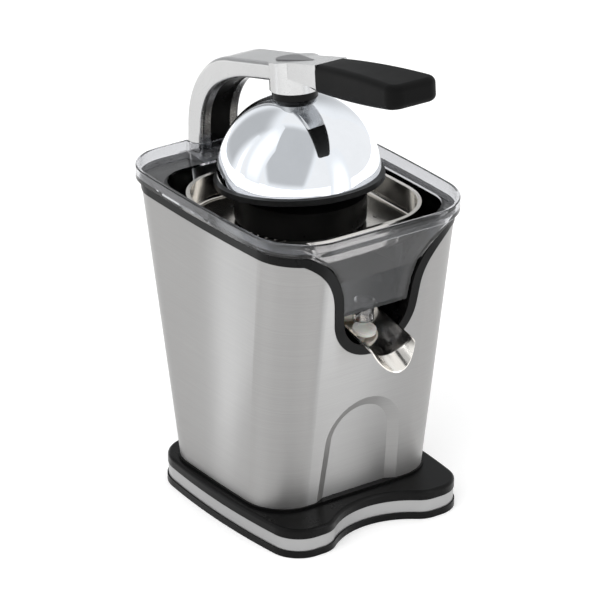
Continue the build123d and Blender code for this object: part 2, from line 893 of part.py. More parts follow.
with BuildPart() as window_block:
    extrude(cutout_outline(trim_width + window_gap, bowl_floor_level), amount=front_reach)
    add(window_skin(0, rim_bottom + flange_thickness), mode=Mode.INTERSECT)
    with Locations((0, window_depth - top_front, bowl_floor_level)):
        Box(
            front_reach * 2,
            front_reach * 2,
            front_reach * 2,
            align=(Align.CENTER, Align.MIN, Align.CENTER),
            mode=Mode.SUBTRACT,
        )

with BuildPart() as window_cavity:
    extrude(
        cutout_outline(trim_width + window_gap + bowl_wall, bowl_floor_level + bowl_wall), amount=front_reach
    )
    add(window_skin(bowl_wall, rim_top), mode=Mode.INTERSECT)
    with Locations((0, window_depth - top_front + bowl_wall, bowl_floor_level)):
        Box(
            front_reach * 2,
            front_reach * 2,
            front_reach * 2,
            align=(Align.CENTER, Align.MIN, Align.CENTER),
            mode=Mode.SUBTRACT,
        )

with BuildPart() as rim_recess:
    with BuildSketch(Plane.XY.offset(rim_bottom)) as recess_plan:
        with Locations((0, rim_recess_y)):
            Rectangle(
                rim_recess_half_width * 2, hinge_y, align=(Align.CENTER, Align.MIN)
            )
        fillet(recess_plan.vertices().group_by(Axis.Y)[0], rim_recess_radius)
    extrude(amount=rim_height)

with BuildPart() as rim_hollow:
    extrude(body_outline(trim_top, rim_wall - rim_overhang), amount=rim_top - trim_top + overrun)
    with BuildSketch(Plane.XY.offset(trim_top)) as recess_wall:
        with Locations((0, rim_recess_y - rim_wall)):
            Rectangle((rim_recess_half_width + rim_wall) * 2, hinge_y, align=(Align.CENTER, Align.MIN))
        fillet(recess_wall.vertices().group_by(Axis.Y)[0], rim_recess_radius + rim_wall)
    extrude(amount=rim_top - trim_top + overrun, mode=Mode.SUBTRACT)
    with Locations((0, 0, rim_bottom + flange_thickness)):
        Box(
            front_reach * 4,
            front_reach * 4,
            front_reach,
            align=(Align.CENTER, Align.CENTER, Align.MAX),
            mode=Mode.SUBTRACT,
        )

with BuildPart() as rim_ring:
    extrude(body_outline(trim_top, -rim_overhang), amount=rim_seat_gap + rim_height)
    with Locations((0, 0, rim_bottom)):
        Box(
            front_reach * 4,
            front_reach * 4,
            front_reach,
            align=(Align.CENTER, Align.CENTER, Align.MAX),
            mode=Mode.SUBTRACT,
        )
    add(rim_recess.part, mode=Mode.SUBTRACT)
    fillet(rim_ring.faces().sort_by(Axis.Z)[-1].edges(), rim_edge_radius)

with BuildPart() as juice_bowl:
    loft(basin_block(bowl_floor_level, 0), ruled=True)
    add(window_block.part)
    add(rim_ring.part)
    add(rim_hollow.part, mode=Mode.SUBTRACT)
    loft(basin_block(bowl_floor_level + bowl_wall, bowl_wall), ruled=True, mode=Mode.SUBTRACT)
    add(window_cavity.part, mode=Mode.SUBTRACT)
    with Locations((0, 0, bowl_floor_level)):
        Cylinder(chimney_radius, chimney_top - bowl_floor_level, align=bottom_up)
    with Locations(*[(x, y, bowl_floor_level + bowl_wall / 2) for x, y in post_places]):
        Cylinder(post_radius, strainer_floor - bowl_floor_level - bowl_wall / 2, align=bottom_up)
    with Locations((0, -outlet_y, outlet_end)):
        Cylinder(outlet_radius, bowl_floor_level - outlet_end + bowl_wall / 2, align=bottom_up)
    with Locations((0, 0, bowl_floor_level)):
        Cylinder(chimney_radius - chimney_wall, chimney_top, mode=Mode.SUBTRACT)
    with Locations((0, -outlet_y, outlet_end)):
        Cylinder(
            outlet_radius - outlet_wall,
            bowl_floor_level - outlet_end + bowl_wall + overrun,
            align=bottom_up,
            mode=Mode.SUBTRACT,
        )
finish(juice_bowl.part, "juice_bowl")

# Strainer: a polished tray with a collar round the shaft and rings of drain holes
def strainer_outline(level, inset):
    """Plan outline of the strainer at a level, moved in by inset."""
    return outline(
        level,
        strainer_half_width - inset,
        strainer_bulge,
        strainer_front - inset,
        strainer_back - inset,
        strainer_radius - inset,
        strainer_radius - inset,
    )


strainer_top = strainer_floor + strainer_height
with BuildPart() as strainer_hollow:
    extrude(strainer_outline(strainer_floor + strainer_sheet, strainer_sheet), amount=strainer_height)
    fillet(strainer_hollow.faces().sort_by(Axis.Z)[0].edges(), strainer_bend_radius - strainer_sheet)

with BuildPart() as strainer:
    extrude(strainer_outline(strainer_floor, 0), amount=strainer_height)
    fillet(strainer.faces().sort_by(Axis.Z)[0].edges(), strainer_bend_radius)
    extrude(strainer_outline(strainer_top - strainer_sheet, -strainer_rim_width), amount=strainer_sheet)
    add(strainer_hollow.part, mode=Mode.SUBTRACT)
    with Locations((0, 0, strainer_floor)):
        Cylinder(strainer_hole_radius + strainer_sheet, strainer_collar_height, align=bottom_up)
        Cylinder(strainer_hole_radius, strainer_collar_height, align=bottom_up, mode=Mode.SUBTRACT)
        for ring_radius_here, ring_count in zip(drain_ring_radii, drain_ring_counts):
            with PolarLocations(ring_radius_here, ring_count):
                Cylinder(drain_hole_radius, overrun, mode=Mode.SUBTRACT)
finish(strainer.part, "strainer")


# Reamer cone: a ribbed head on a skirt, hollow below, with a hexagon socket in its hub
def radial_plane(angle):
    """Upright plane through the Z axis, turned from the XZ plane by an angle."""
    turn = radians(angle)
    return Plane(origin=(0, 0, 0), x_dir=(cos(turn), sin(turn), 0), z_dir=(sin(turn), -cos(turn), 0))


with BuildPart() as reamer_cone:
    with BuildSketch(Plane.XZ):
        with BuildLine():
            Polyline(
                (0, skirt_bottom),
                (skirt_radius, skirt_bottom),
                (skirt_radius, skirt_top),
                (shoulder_radius, shoulder_level),
            )
            ThreePointArc(
                (shoulder_radius, shoulder_level),
                (reamer_mid_radius, reamer_mid_level),
                (0, reamer_tip_level),
            )
            Line((0, reamer_tip_level), (0, skirt_bottom))
        make_face()
    revolve(axis=Axis.Z)
    for rib in range(rib_count):
        with BuildSketch(radial_plane(360 * rib / rib_count)):
            with BuildLine():
                Polyline((0, reamer_tip_level), (0, shoulder_level), (shoulder_radius, shoulder_level))
                ThreePointArc(
                    (shoulder_radius, shoulder_level),
                    (reamer_mid_radius + rib_rise, reamer_mid_level + rib_rise / 2),
                    (rib_thickness, reamer_tip_level + rib_rise),
                )
                Polyline(
                    (rib_thickness, reamer_tip_level + rib_rise),
                    (0, reamer_tip_level + rib_rise),
                    (0, reamer_tip_level),
                )
            make_face()
        extrude(amount=rib_thickness / 2, both=True)
    with BuildSketch(Plane.XZ):
        with BuildLine():
            Polyline(
                (cone_hub_radius, skirt_bottom - overrun),
                (skirt_radius - skirt_wall, skirt_bottom - overrun),
                (skirt_radius - skirt_wall, skirt_top - skirt_wall),
                (shoulder_radius - reamer_wall, shoulder_level - reamer_wall),
                (reamer_mid_radius - reamer_wall, reamer_mid_level - reamer_wall),
                (cone_hub_radius, reamer_tip_level - reamer_wall * 3),
                close=True,
            )
        make_face()
    revolve(axis=Axis.Z, mode=Mode.SUBTRACT)
    with Locations((0, 0, cone_hub_bottom)):
        Cylinder(cone_hub_radius, skirt_bottom - cone_hub_bottom + overrun, align=bottom_up)
    with BuildSketch(Plane.XY.offset(cone_hub_bottom)):
        Circle(shaft_radius + face_gap)
    extrude(amount=hex_bottom - cone_hub_bottom + face_gap, mode=Mode.SUBTRACT)
    with BuildSketch(Plane.XY.offset(cone_hub_bottom)):
        RegularPolygon(shaft_radius + face_gap, 6)
    extrude(amount=hex_top - cone_hub_bottom + face_gap, mode=Mode.SUBTRACT)
finish(reamer_cone.part, "reamer_cone")

# Drive shaft with its hexagon end
with BuildPart() as drive_shaft:
    with Locations((0, 0, shaft_bottom)):
        Cylinder(shaft_radius, hex_bottom - shaft_bottom, align=bottom_up)
    with BuildSketch(Plane.XY.offset(hex_bottom)):
        RegularPolygon(shaft_radius, 6)
    extrude(amount=hex_top - hex_bottom)
finish(drive_shaft.part, "drive_shaft")


def ring(plane, inner, outer, height):
    """Round ring on a plane, rising along its normal."""
    with BuildPart() as turned:
        with BuildSketch(plane):
            Circle(outer)
            Circle(inner, mode=Mode.SUBTRACT)
        extrude(amount=height)
    return turned.part


# Upper bush and seal in the bearing boss of the deck, lower bush in the gearbox plate
upper_bush_level = deck_level - bearing_boss_drop
upper_bush = ring(Plane.XY.offset(upper_bush_level), shaft_radius + running_gap, bush_radius, bush_length)
finish(upper_bush, "upper_bush")

seal_level = upper_bush_level + bush_length + face_gap
shaft_seal = ring(Plane.XY.offset(seal_level), shaft_radius + seat_gap, bush_radius, seal_height)
finish(shaft_seal, "shaft_seal")

lower_bush_level = plate_level + plate_thickness - bush_length
lower_bush = ring(Plane.XY.offset(lower_bush_level), shaft_radius + running_gap, bush_radius, bush_length)
finish(lower_bush, "lower_bush")

# Gear train: the output gear on the shaft, the double idler and the motor pinion
with BuildPart() as output_gear:
    gear_plane = Plane.XY.offset(output_gear_level)
    extrude(
        gear_outline(gear_plane, output_module, output_teeth, 90, shaft_radius + running_gap),
        amount=output_gear_face,
    )
    with BuildSketch(gear_plane):
        Circle(output_hub_radius)
        Circle(shaft_radius + running_gap, mode=Mode.SUBTRACT)
    extrude(amount=-output_hub_drop)
finish(output_gear.part, "output_gear")

idler_bore = idler_pin_radius + running_gap
idler_pinion_level = idler_wheel_level + idler_wheel_face
idler_top = idler_pinion_level + idler_pinion_face
with BuildPart() as idler_gear:
    extrude(
        gear_outline(
            Plane((0, idler_y, idler_wheel_level)), motor_module, idler_wheel_teeth, motor_angle, idler_bore
        ),
        amount=idler_wheel_face,
    )
    extrude(
        gear_outline(
            Plane((0, idler_y, idler_pinion_level)),
            output_module,
            idler_pinion_teeth,
            180 / idler_pinion_teeth - 90,
            idler_bore,
        ),
        amount=idler_pinion_face,
    )
finish(idler_gear.part, "idler_gear")

with BuildPart() as idler_pin:
    with Locations((0, idler_y, plate_level)):
        Cylinder(idler_pin_radius, deck_level - plate_level, align=bottom_up)
    with Locations((0, idler_y, idler_top + face_gap)):
        Cylinder(idler_pin_radius * 2, deck_level - idler_top - face_gap, align=bottom_up)
finish(idler_pin.part, "idler_pin")

with BuildPart() as motor_pinion:
    extrude(
        gear_outline(
            Plane((motor_x, motor_y, motor_pinion_level)),
            motor_module,
            motor_pinion_teeth,
            180 + motor_angle + 180 / motor_pinion_teeth,
            motor_shaft_radius + running_gap,
        ),
        amount=motor_pinion_face,
    )
finish(motor_pinion.part, "motor_pinion")

# Gearbox plate with the boss of the lower bush, and the pillars that hang it from the deck
plate_top = plate_level + plate_thickness
with BuildPart() as gearbox_plate:
    extrude(body_outline(plate_level, plate_inset), amount=plate_thickness)
    with Locations((0, 0, lower_bush_level)):
        Cylinder(bearing_boss_radius, bush_length, align=bottom_up)
    with Locations((0, idler_y, plate_level)):
        Cylinder(idler_pin_radius * 2, idler_wheel_level - face_gap - plate_level, align=bottom_up)
    with BuildSketch(Plane.XY.offset(lower_bush_level)):
        Circle(bush_radius + running_gap)
        with Locations((0, idler_y)):
            Circle(idler_bore)
        with Locations((motor_x, motor_y)):
            Circle(motor_shaft_radius * 1.5)
        with Locations(*pillar_places):
            Circle(base_screw_radius)
    extrude(amount=bush_length + plate_thickness, mode=Mode.SUBTRACT)
finish(gearbox_plate.part, "gearbox_plate")

with BuildPart() as gearbox_pillars:
    with Locations(*[(x, y, plate_top) for x, y in pillar_places]):
        Cylinder(pillar_radius, deck_level - plate_top, align=bottom_up)
    with Locations(*[(x, y, plate_level) for x, y in pillar_places]):
        Cylinder(
            base_screw_radius - running_gap, deck_level + deck_thickness - plate_level, align=bottom_up
        )
finish(gearbox_pillars.part, "gearbox_pillars")

# Motor: stator ring, rotor with its shaft, and two end caps
stator_top = stator_level + stator_height
motor_bottom = stator_level - motor_cap_depth
motor_bore = motor_shaft_radius + running_gap
motor_stator = ring(
    Plane((motor_x, motor_y, stator_level)), rotor_radius + air_gap, stator_radius, stator_height
)
finish(motor_stator, "motor_stator")

with BuildPart() as motor_rotor:
    with Locations((motor_x, motor_y, stator_level - rotor_overhang)):
        Cylinder(rotor_radius, stator_height + rotor_overhang * 2, align=bottom_up)
    with Locations((motor_x, motor_y, motor_bottom)):
        Cylinder(motor_shaft_radius, motor_pinion_level + motor_pinion_face - motor_bottom, align=bottom_up)
finish(motor_rotor.part, "motor_rotor")


def motor_cap(face_level, end_level):
    """End cap from the stator face to its closed end, with a bearing boss inside."""
    depth = end_level - face_level
    inward = depth / abs(depth)
    with BuildPart() as cap:
        with BuildSketch(Plane((motor_x, motor_y, face_level))):
            Circle(stator_radius)
        extrude(amount=depth)
        with BuildSketch(Plane((motor_x, motor_y, face_level))):
            Circle(stator_radius - motor_cap_wall)
        extrude(amount=depth - inward * motor_cap_wall, mode=Mode.SUBTRACT)
        with BuildSketch(Plane((motor_x, motor_y, end_level))):
            Circle(motor_bearing_radius)
        extrude(amount=-depth / 2)
        with BuildSketch(Plane((motor_x, motor_y, end_level))):
            Circle(motor_bore)
        extrude(amount=-depth, mode=Mode.SUBTRACT)
    return cap.part


finish(motor_cap(stator_top, plate_level), "motor_top_cap")
finish(motor_cap(stator_level, motor_bottom), "motor_bottom_cap")

# Thrust cup under the shaft, with a spigot for the spring and a tab over the switch
cup_top = shaft_bottom - face_gap
with BuildPart() as thrust_cup:
    with Locations((0, 0, cup_bottom)):
        Cylinder(cup_radius, cup_top - cup_bottom, align=bottom_up)
        Box(
            cup_tab_half_width * 2,
            cup_tab_reach,
            cup_tab_height,
            align=(Align.CENTER, Align.MAX, Align.MIN),
        )
    with Locations((0, 0, cup_bottom - spring_spigot_height)):
        Cylinder(spring_spigot_radius, spring_spigot_height, align=bottom_up)
finish(thrust_cup.part, "thrust_cup")

with BuildPart() as switch_plunger:
    with Locations((0, -plunger_y, cup_bottom - plunger_length)):
        Cylinder(plunger_radius, plunger_length, align=bottom_up)
finish(switch_plunger.part, "switch_plunger")

# Press spring between the bracket and the thrust cup
spring_start = spring_seat_level + spring_wire_radius + face_gap
spring_rise = cup_bottom - spring_seat_level - 2 * (spring_wire_radius + face_gap)
with BuildPart() as press_spring:
    with BuildLine() as coil:
        Helix(spring_rise / spring_turns, spring_rise, spring_coil_radius, center=(0, 0, spring_start))
    with BuildSketch(Plane(origin=coil.line @ 0, z_dir=coil.line % 0)):
        Circle(spring_wire_radius)
    sweep(path=coil.line, is_frenet=True)
finish(press_spring.part, "press_spring")

# Spring bracket: a strap hung from the gearbox plate, with a shelf for the switch
strap_outer = strap_x + strap_thickness
shelf_front = plunger_y + switch_length / 2 + strap_thickness
with BuildPart() as spring_bracket:
    for side in (-1, 1):
        with Locations((side * (strap_x + strap_thickness / 2), 0, spring_seat_level - strap_thickness)):
            Box(
                strap_thickness,
                strap_half_width * 2,
                plate_level - spring_seat_level + strap_thickness,
                align=bottom_up,
            )
    with Locations((0, strap_half_width, spring_seat_level)):
        Box(
            strap_outer * 2,
            strap_half_width + shelf_front,
            strap_thickness,
            align=(Align.CENTER, Align.MAX, Align.MAX),
        )
finish(spring_bracket.part, "spring_bracket")

with BuildPart() as micro_switch:
    with Locations((0, -plunger_y, spring_seat_level)):
        Box(switch_half_width * 2, switch_length, switch_height, align=bottom_up)
    with Locations((0, -plunger_y, spring_seat_level + switch_height)):
        Cylinder(plunger_radius + seat_gap, switch_height, mode=Mode.SUBTRACT)
finish(micro_switch.part, "micro_switch")

# Hinge bracket: a plate inside the housing with two ears that reach out through the slot
ear_foot = hinge_slot_bottom + seat_gap
with BuildPart() as hinge_bracket:
    with Locations((0, bracket_front, bracket_bottom)):
        Box(
            ear_outer * 2,
            bracket_plate,
            bracket_top - bracket_bottom,
            align=(Align.CENTER, Align.MIN, Align.MIN),
        )
    for side in (-1, 1):
        with BuildSketch(Plane.YZ.offset(side * ear_inner)):
            with BuildLine():
                CenterArc((hinge_y, hinge_z), ear_radius, 0, 360)
                Polyline(
                    (bracket_front, ear_foot + overrun),
                    (bracket_front + bracket_plate, ear_foot + overrun),
                    (bracket_front + bracket_plate, bracket_top),
                    (bracket_front, bracket_top),
                    close=True,
                )
            make_hull()
        extrude(amount=side * ear_thickness)
    with BuildSketch(Plane.YZ):
        with Locations((hinge_y, hinge_z)):
            Circle(hinge_pin_radius + running_gap)
    extrude(amount=ear_outer + overrun, both=True, mode=Mode.SUBTRACT)
    with BuildSketch(Plane.XZ.offset(-bracket_front)):
        with Locations((-bracket_screw_x, bracket_screw_level), (bracket_screw_x, bracket_screw_level)):
            Circle(bracket_screw_radius + running_gap)
    extrude(amount=-bracket_plate, mode=Mode.SUBTRACT)
finish(hinge_bracket.part, "hinge_bracket")

with BuildPart() as bracket_screws:
    with BuildSketch(Plane.XZ.offset(-bracket_front)):
        with Locations((-bracket_screw_x, bracket_screw_level), (bracket_screw_x, bracket_screw_level)):
            Circle(bracket_screw_head_radius)
    extrude(amount=bracket_screw_head_height)
    with BuildSketch(Plane.XZ.offset(-bracket_front)):
        with Locations((-bracket_screw_x, bracket_screw_level), (bracket_screw_x, bracket_screw_level)):
            Circle(bracket_screw_radius)
    extrude(amount=-bracket_screw_length)
finish(bracket_screws.part, "bracket_screws")

# Hinge pin, its clips and the friction washers beside the arm
with BuildPart() as hinge_pin:
    with BuildSketch(Plane.YZ):
        with Locations((hinge_y, hinge_z)):
            Circle(hinge_pin_radius)
    extrude(amount=ear_outer + pin_stub, both=True)
finish(hinge_pin.part, "hinge_pin")


def ring_pair(inner, outer, near, thickness):
    """Two rings round the hinge axis, one on each side, from a distance outward."""
    with BuildPart() as pair:
        for side in (-1, 1):
            with BuildSketch(Plane.YZ.offset(side * near)):
                with Locations((hinge_y, hinge_z)):
                    Circle(outer)
                    Circle(inner, mode=Mode.SUBTRACT)
            extrude(amount=side * thickness)
    return pair.part


pin_clips = ring_pair(hinge_pin_radius + running_gap, clip_radius, ear_outer + face_gap, clip_thickness)
finish(pin_clips, "pin_clips")

washer_near = arm_half_width + face_gap
friction_washers = ring_pair(hinge_pin_radius + running_gap, washer_radius, washer_near, washer_thickness)
finish(friction_washers, "friction_washers")

bush_near = arm_half_width - hinge_bush_length
hinge_bushes = ring_pair(hinge_pin_radius + running_gap, hinge_bush_radius, bush_near, hinge_bush_length)
finish(hinge_bushes, "hinge_bushes")

# Lever planes: everything on the lever is drawn pressed down and carried up by the rest lift
lift = Pos(0, hinge_y, hinge_z) * Rot(X=-rest_lift) * Pos(0, -hinge_y, -hinge_z)
post_heading = 90 + rest_lift
run_heading = post_heading + arm_first_turn + arm_second_turn
run_slope = tan(radians(180 - run_heading))


def raised(plane):
    """A plane of the pressed lever, carried to the rest position."""
    return Plane(lift * plane.location)


lever_side = raised(Plane.YZ)
lever_front = raised(Plane.XZ)
press_axis = Axis(raised(Plane.XY).origin, raised(Plane.XY).z_dir)


def bend(start, heading, radius, turn):
    """Middle and end of an arc that turns left from a point on a heading."""
    points = []
    for angle in (turn / 2, turn):
        points.append(
            (
                start[0] + radius * (sin(radians(heading + angle)) - sin(radians(heading))),
                start[1] - radius * (cos(radians(heading + angle)) - cos(radians(heading))),
            )
        )
    return points


def arm_run(left, skip, rise, first_radius, second_radius, end_y):
    """Points of a long edge of the arm, left of the hinge line, from a skip above the hinge."""
    heading = radians(post_heading)
    foot = (hinge_y - left * sin(heading), hinge_z + left * cos(heading))
    start = (foot[0] + skip * cos(heading), foot[1] + skip * sin(heading))
    top = (foot[0] + rise * cos(heading), foot[1] + rise * sin(heading))
    first = bend(top, post_heading, first_radius, arm_first_turn)
    second = bend(first[1], post_heading + arm_first_turn, second_radius, arm_second_turn)
    end = (end_y, second[1][1] + (second[1][0] - end_y) * run_slope)
    return [start, top, *first, *second, end]


def draw_run(points):
    """Draw a long edge of the arm: post, two bends and the top run."""
    start, top, first_middle, first_end, second_middle, second_end, end = points
    Line(start, top)
    ThreePointArc(top, first_middle, first_end)
    ThreePointArc(first_end, second_middle, second_end)
    Line(second_end, end)


def inner_run(depth, skip, end_y):
    """Inner edge of the arm, moved into the arm by a depth."""
    return arm_run(
        arm_half_depth - depth,
        skip,
        arm_inner_rise,
        arm_inner_first_radius + depth,
        arm_inner_second_radius + depth,
        end_y,
    )


def inner_strip(outer_depth, inner_depth, half_width):
    """Strip along the inner edge of the arm between two depths, as a solid."""
    skip = arm_half_depth * 1.5
    end_y = hub_radius + overrun
    near = inner_run(outer_depth, skip, end_y)
    far = inner_run(inner_depth, skip, end_y)
    with BuildPart() as strip:
        with BuildSketch(lever_side):
            with BuildLine():
                draw_run(near)
                Line(near[-1], far[-1])
                draw_run(far)
                Line(far[0], near[0])
            make_face()
        extrude(amount=half_width, both=True)
    return strip.part


def tang_profile(grow):
    """Side view of the tang in the grip, moved out by grow."""
    root_level = (neck_end_bottom + neck_end_top) / 2
    end_level = (grip_end_bottom + grip_end_top) / 2
    slope = (end_level - root_level) / (grip_end_y - neck_end_y)
    back = (overrun - neck_end_y, root_level - overrun * slope)
    front = (-neck_end_y - tang_length - grow, root_level + (tang_length + grow) * slope)
    half = tang_thickness / 2 + grow
    with BuildSketch(lever_side) as profile:
        with BuildLine():
            Polyline(
                (back[0], back[1] - half),
                (back[0], back[1] + half),
                (front[0], front[1] + half),
                (front[0], front[1] - half),
                close=True,
            )
        make_face()
    return profile.sketch


# Lever arm: the arm, the hub over the dome, the neck and the tang in one casting
outer_edge = arm_run(
    -arm_half_depth, 0, arm_outer_rise, arm_outer_first_radius, arm_outer_second_radius, -hub_crest_y
)
inner_edge = inner_run(0, 0, 0)
crest = outer_edge[-1]
hub_axis_top = crest[1] - hub_crest_y * run_slope
hub_rear_top = hub_axis_top - (hub_radius + overrun) * run_slope
cap_plane = raised(
    Plane(
        origin=(0, 0, hub_axis_top),
        x_dir=(1, 0, 0),
        z_dir=(0, sin(radians(180 - run_heading)), -cos(radians(run_heading))),
    )
)


def cap_outline(plane, grow):
    """Drop outline of the hub cap, round at the rear, moved out by grow."""
    tip_y = cap_rear_y - cap_length
    with BuildSketch(plane) as drop:
        with BuildLine():
            CenterArc((0, cap_rear_y), cap_round_radius + grow, 0, 360)
            CenterArc((0, tip_y), cap_tip_radius + grow, 0, 360)
        make_hull()
    return drop.sketch


with BuildPart() as neck_block:
    with BuildSketch(lever_side):
        with BuildLine():
            Polyline(
                (0, neck_root_bottom),
                (0, hub_axis_top),
                crest,
                (-neck_end_y, neck_end_top),
                (-neck_end_y, neck_end_bottom),
                (-hub_radius, neck_root_bottom),
                close=True,
            )
        make_face()
    extrude(amount=neck_half_width, both=True)
    neck_floor = neck_block.faces().filter_by(lambda face: face.normal_at().Z < 0).sort_by(Axis.Y)[0]
    chamfer(neck_floor.edges().filter_by(Axis.X, reverse=True), neck_facet)

with BuildPart() as lever_arm:
    with BuildSketch(lever_side):
        with BuildLine():
            draw_run(outer_edge)
            Line(outer_edge[-1], inner_edge[-1])
            draw_run(inner_edge)
            Line(inner_edge[0], outer_edge[0])
        make_face()
        with Locations((hinge_y, hinge_z)):
            Circle(arm_half_depth)
    extrude(amount=arm_half_width, both=True)
    fillet(lever_arm.faces().filter_by(Axis.X).edges(), arm_edge_radius)
    with BuildSketch(raised(Plane.XY.offset(hub_bottom))):
        Circle(hub_radius)
    extrude(amount=crest[1] - hub_bottom + overrun)
    with BuildSketch(lever_side):
        with BuildLine():
            Polyline(
                (hub_radius + overrun, hub_rear_top),
                crest,
                (-neck_end_y, neck_end_top),
                (-neck_end_y, neck_end_top + overrun),
                (hub_radius + overrun, neck_end_top + overrun),
                close=True,
            )
        make_face()
    extrude(amount=hub_radius + overrun, both=True, mode=Mode.SUBTRACT)
    add(neck_block.part)
    extrude(tang_profile(0), amount=tang_half_width, both=True)
    add(inner_strip(-overrun, channel_depth, channel_half_width), mode=Mode.SUBTRACT)
    with BuildSketch(lever_side):
        with Locations((hinge_y, hinge_z)):
            Circle(hinge_bush_radius + running_gap)
    extrude(amount=arm_half_width + overrun, both=True, mode=Mode.SUBTRACT)
    with BuildSketch(raised(Plane.XY.offset(hub_bottom))):
        Circle(hub_screw_radius + running_gap)
    extrude(amount=hub_screw_head_level - hub_bottom, mode=Mode.SUBTRACT)
    with BuildSketch(raised(Plane.XY.offset(hub_screw_head_level))):
        Circle(hub_screw_head_radius + seat_gap)
    extrude(amount=crest[1] - hub_screw_head_level, mode=Mode.SUBTRACT)
    cap_seat = cap_outline(cap_plane.offset(-cap_sink), face_gap)
    extrude(cap_seat, amount=cap_sink + cap_thickness, mode=Mode.SUBTRACT)
finish(lever_arm.part, "lever_arm")

# Arm insert: the black strip in the channel on the inner side of the arm
insert_face = channel_depth - insert_depth
arm_insert = inner_strip(insert_face, channel_depth - face_gap, channel_half_width - face_gap)
finish(arm_insert, "arm_insert")

# Hub cap over the hub screw
with BuildPart() as hub_cap:
    extrude(cap_outline(cap_plane.offset(face_gap - cap_sink), 0), amount=cap_thickness)
finish(hub_cap.part, "hub_cap")

with BuildPart() as hub_screw:
    with BuildSketch(raised(Plane.XY.offset(hub_screw_head_level))):
        Circle(hub_screw_head_radius)
    extrude(amount=hub_screw_head_height)
    with BuildSketch(raised(Plane.XY.offset(hub_screw_head_level))):
        Circle(hub_screw_radius)
    extrude(amount=-hub_screw_length)
finish(hub_screw.part, "hub_screw")

# Grip: a crowned bar with a rounded end, slid over the tang
with BuildPart() as grip:
    with BuildSketch(raised(Plane.XY.offset(hub_bottom))) as grip_plan:
        with BuildLine():
            Polyline(
                (-grip_root_half_width, -neck_end_y),
                (-grip_end_half_width, -grip_end_y),
                (grip_end_half_width, -grip_end_y),
                (grip_root_half_width, -neck_end_y),
                close=True,
            )
        make_face()
        fillet(grip_plan.vertices().group_by(Axis.Y)[0], grip_corner_radius)
    extrude(amount=grip_end_top - hub_bottom + overrun)
    with BuildSketch(lever_side):
        with BuildLine():
            root_bottom = (-neck_end_y, neck_end_bottom)
            root_top = (-neck_end_y, neck_end_top)
            end_bottom = (-grip_end_y, grip_end_bottom)
            end_top = (-grip_end_y, grip_end_top)
            middle_y = (-neck_end_y - grip_end_y) / 2
            ThreePointArc(root_top, (middle_y, (neck_end_top + grip_end_top) / 2 + grip_crown), end_top)
            Line(end_top, end_bottom)
            ThreePointArc(
                end_bottom, (middle_y, (neck_end_bottom + grip_end_bottom) / 2 - grip_crown), root_bottom
            )
            Line(root_bottom, root_top)
        make_face()
    extrude(amount=grip_end_half_width + overrun, both=True, mode=Mode.INTERSECT)
    root_face = grip.faces().sort_by(Axis.Y)[-1]
    fillet(grip.edges() - root_face.edges(), grip_edge_radius)
    extrude(tang_profile(face_gap), amount=tang_half_width + face_gap, both=True, mode=Mode.SUBTRACT)
finish(grip.part, "grip")

# Dome: collar, shell and liner, turned about the press axis
dome_seat = dome_level + sqrt(dome_radius**2 - dome_neck_radius**2)
sheet_radius = dome_radius - dome_sheet
liner_outer = sheet_radius - liner_gap
liner_inner = liner_outer - liner_wall
screw_bore = hub_screw_radius + running_gap
slant = sqrt(0.5)


def on_dome(radius, across):
    """Point on a sphere about the dome centre at a distance across from the press axis."""
    return (across, dome_level + sqrt(radius**2 - across**2))


with BuildPart() as dome_collar:
    with BuildSketch(lever_front):
        with BuildLine():
            under = dome_radius + face_gap
            ThreePointArc(
                on_dome(under, screw_bore), on_dome(under, collar_radius / 2), on_dome(under, collar_radius)
            )
            Polyline(
                on_dome(under, collar_radius),
                (collar_radius, hub_bottom),
                (screw_bore, hub_bottom),
                on_dome(under, screw_bore),
            )
        make_face()
    revolve(axis=press_axis)
finish(dome_collar.part, "dome_collar")

with BuildPart() as dome_shell:
    with BuildSketch(lever_front):
        with BuildLine():
            Line((dome_radius, dome_level - dome_lip), (dome_radius, dome_level))
            ThreePointArc(
                (dome_radius, dome_level),
                on_dome(dome_radius, dome_radius * slant),
                on_dome(dome_radius, dome_neck_radius),
            )
            Line(on_dome(dome_radius, dome_neck_radius), on_dome(sheet_radius, dome_neck_radius))
            ThreePointArc(
                on_dome(sheet_radius, dome_neck_radius),
                on_dome(sheet_radius, sheet_radius * slant),
                (sheet_radius, dome_level),
            )
            Polyline(
                (sheet_radius, dome_level),
                (sheet_radius, dome_level - dome_lip),
                (dome_radius, dome_level - dome_lip),
            )
        make_face()
    revolve(axis=press_axis)
finish(dome_shell.part, "dome_shell")

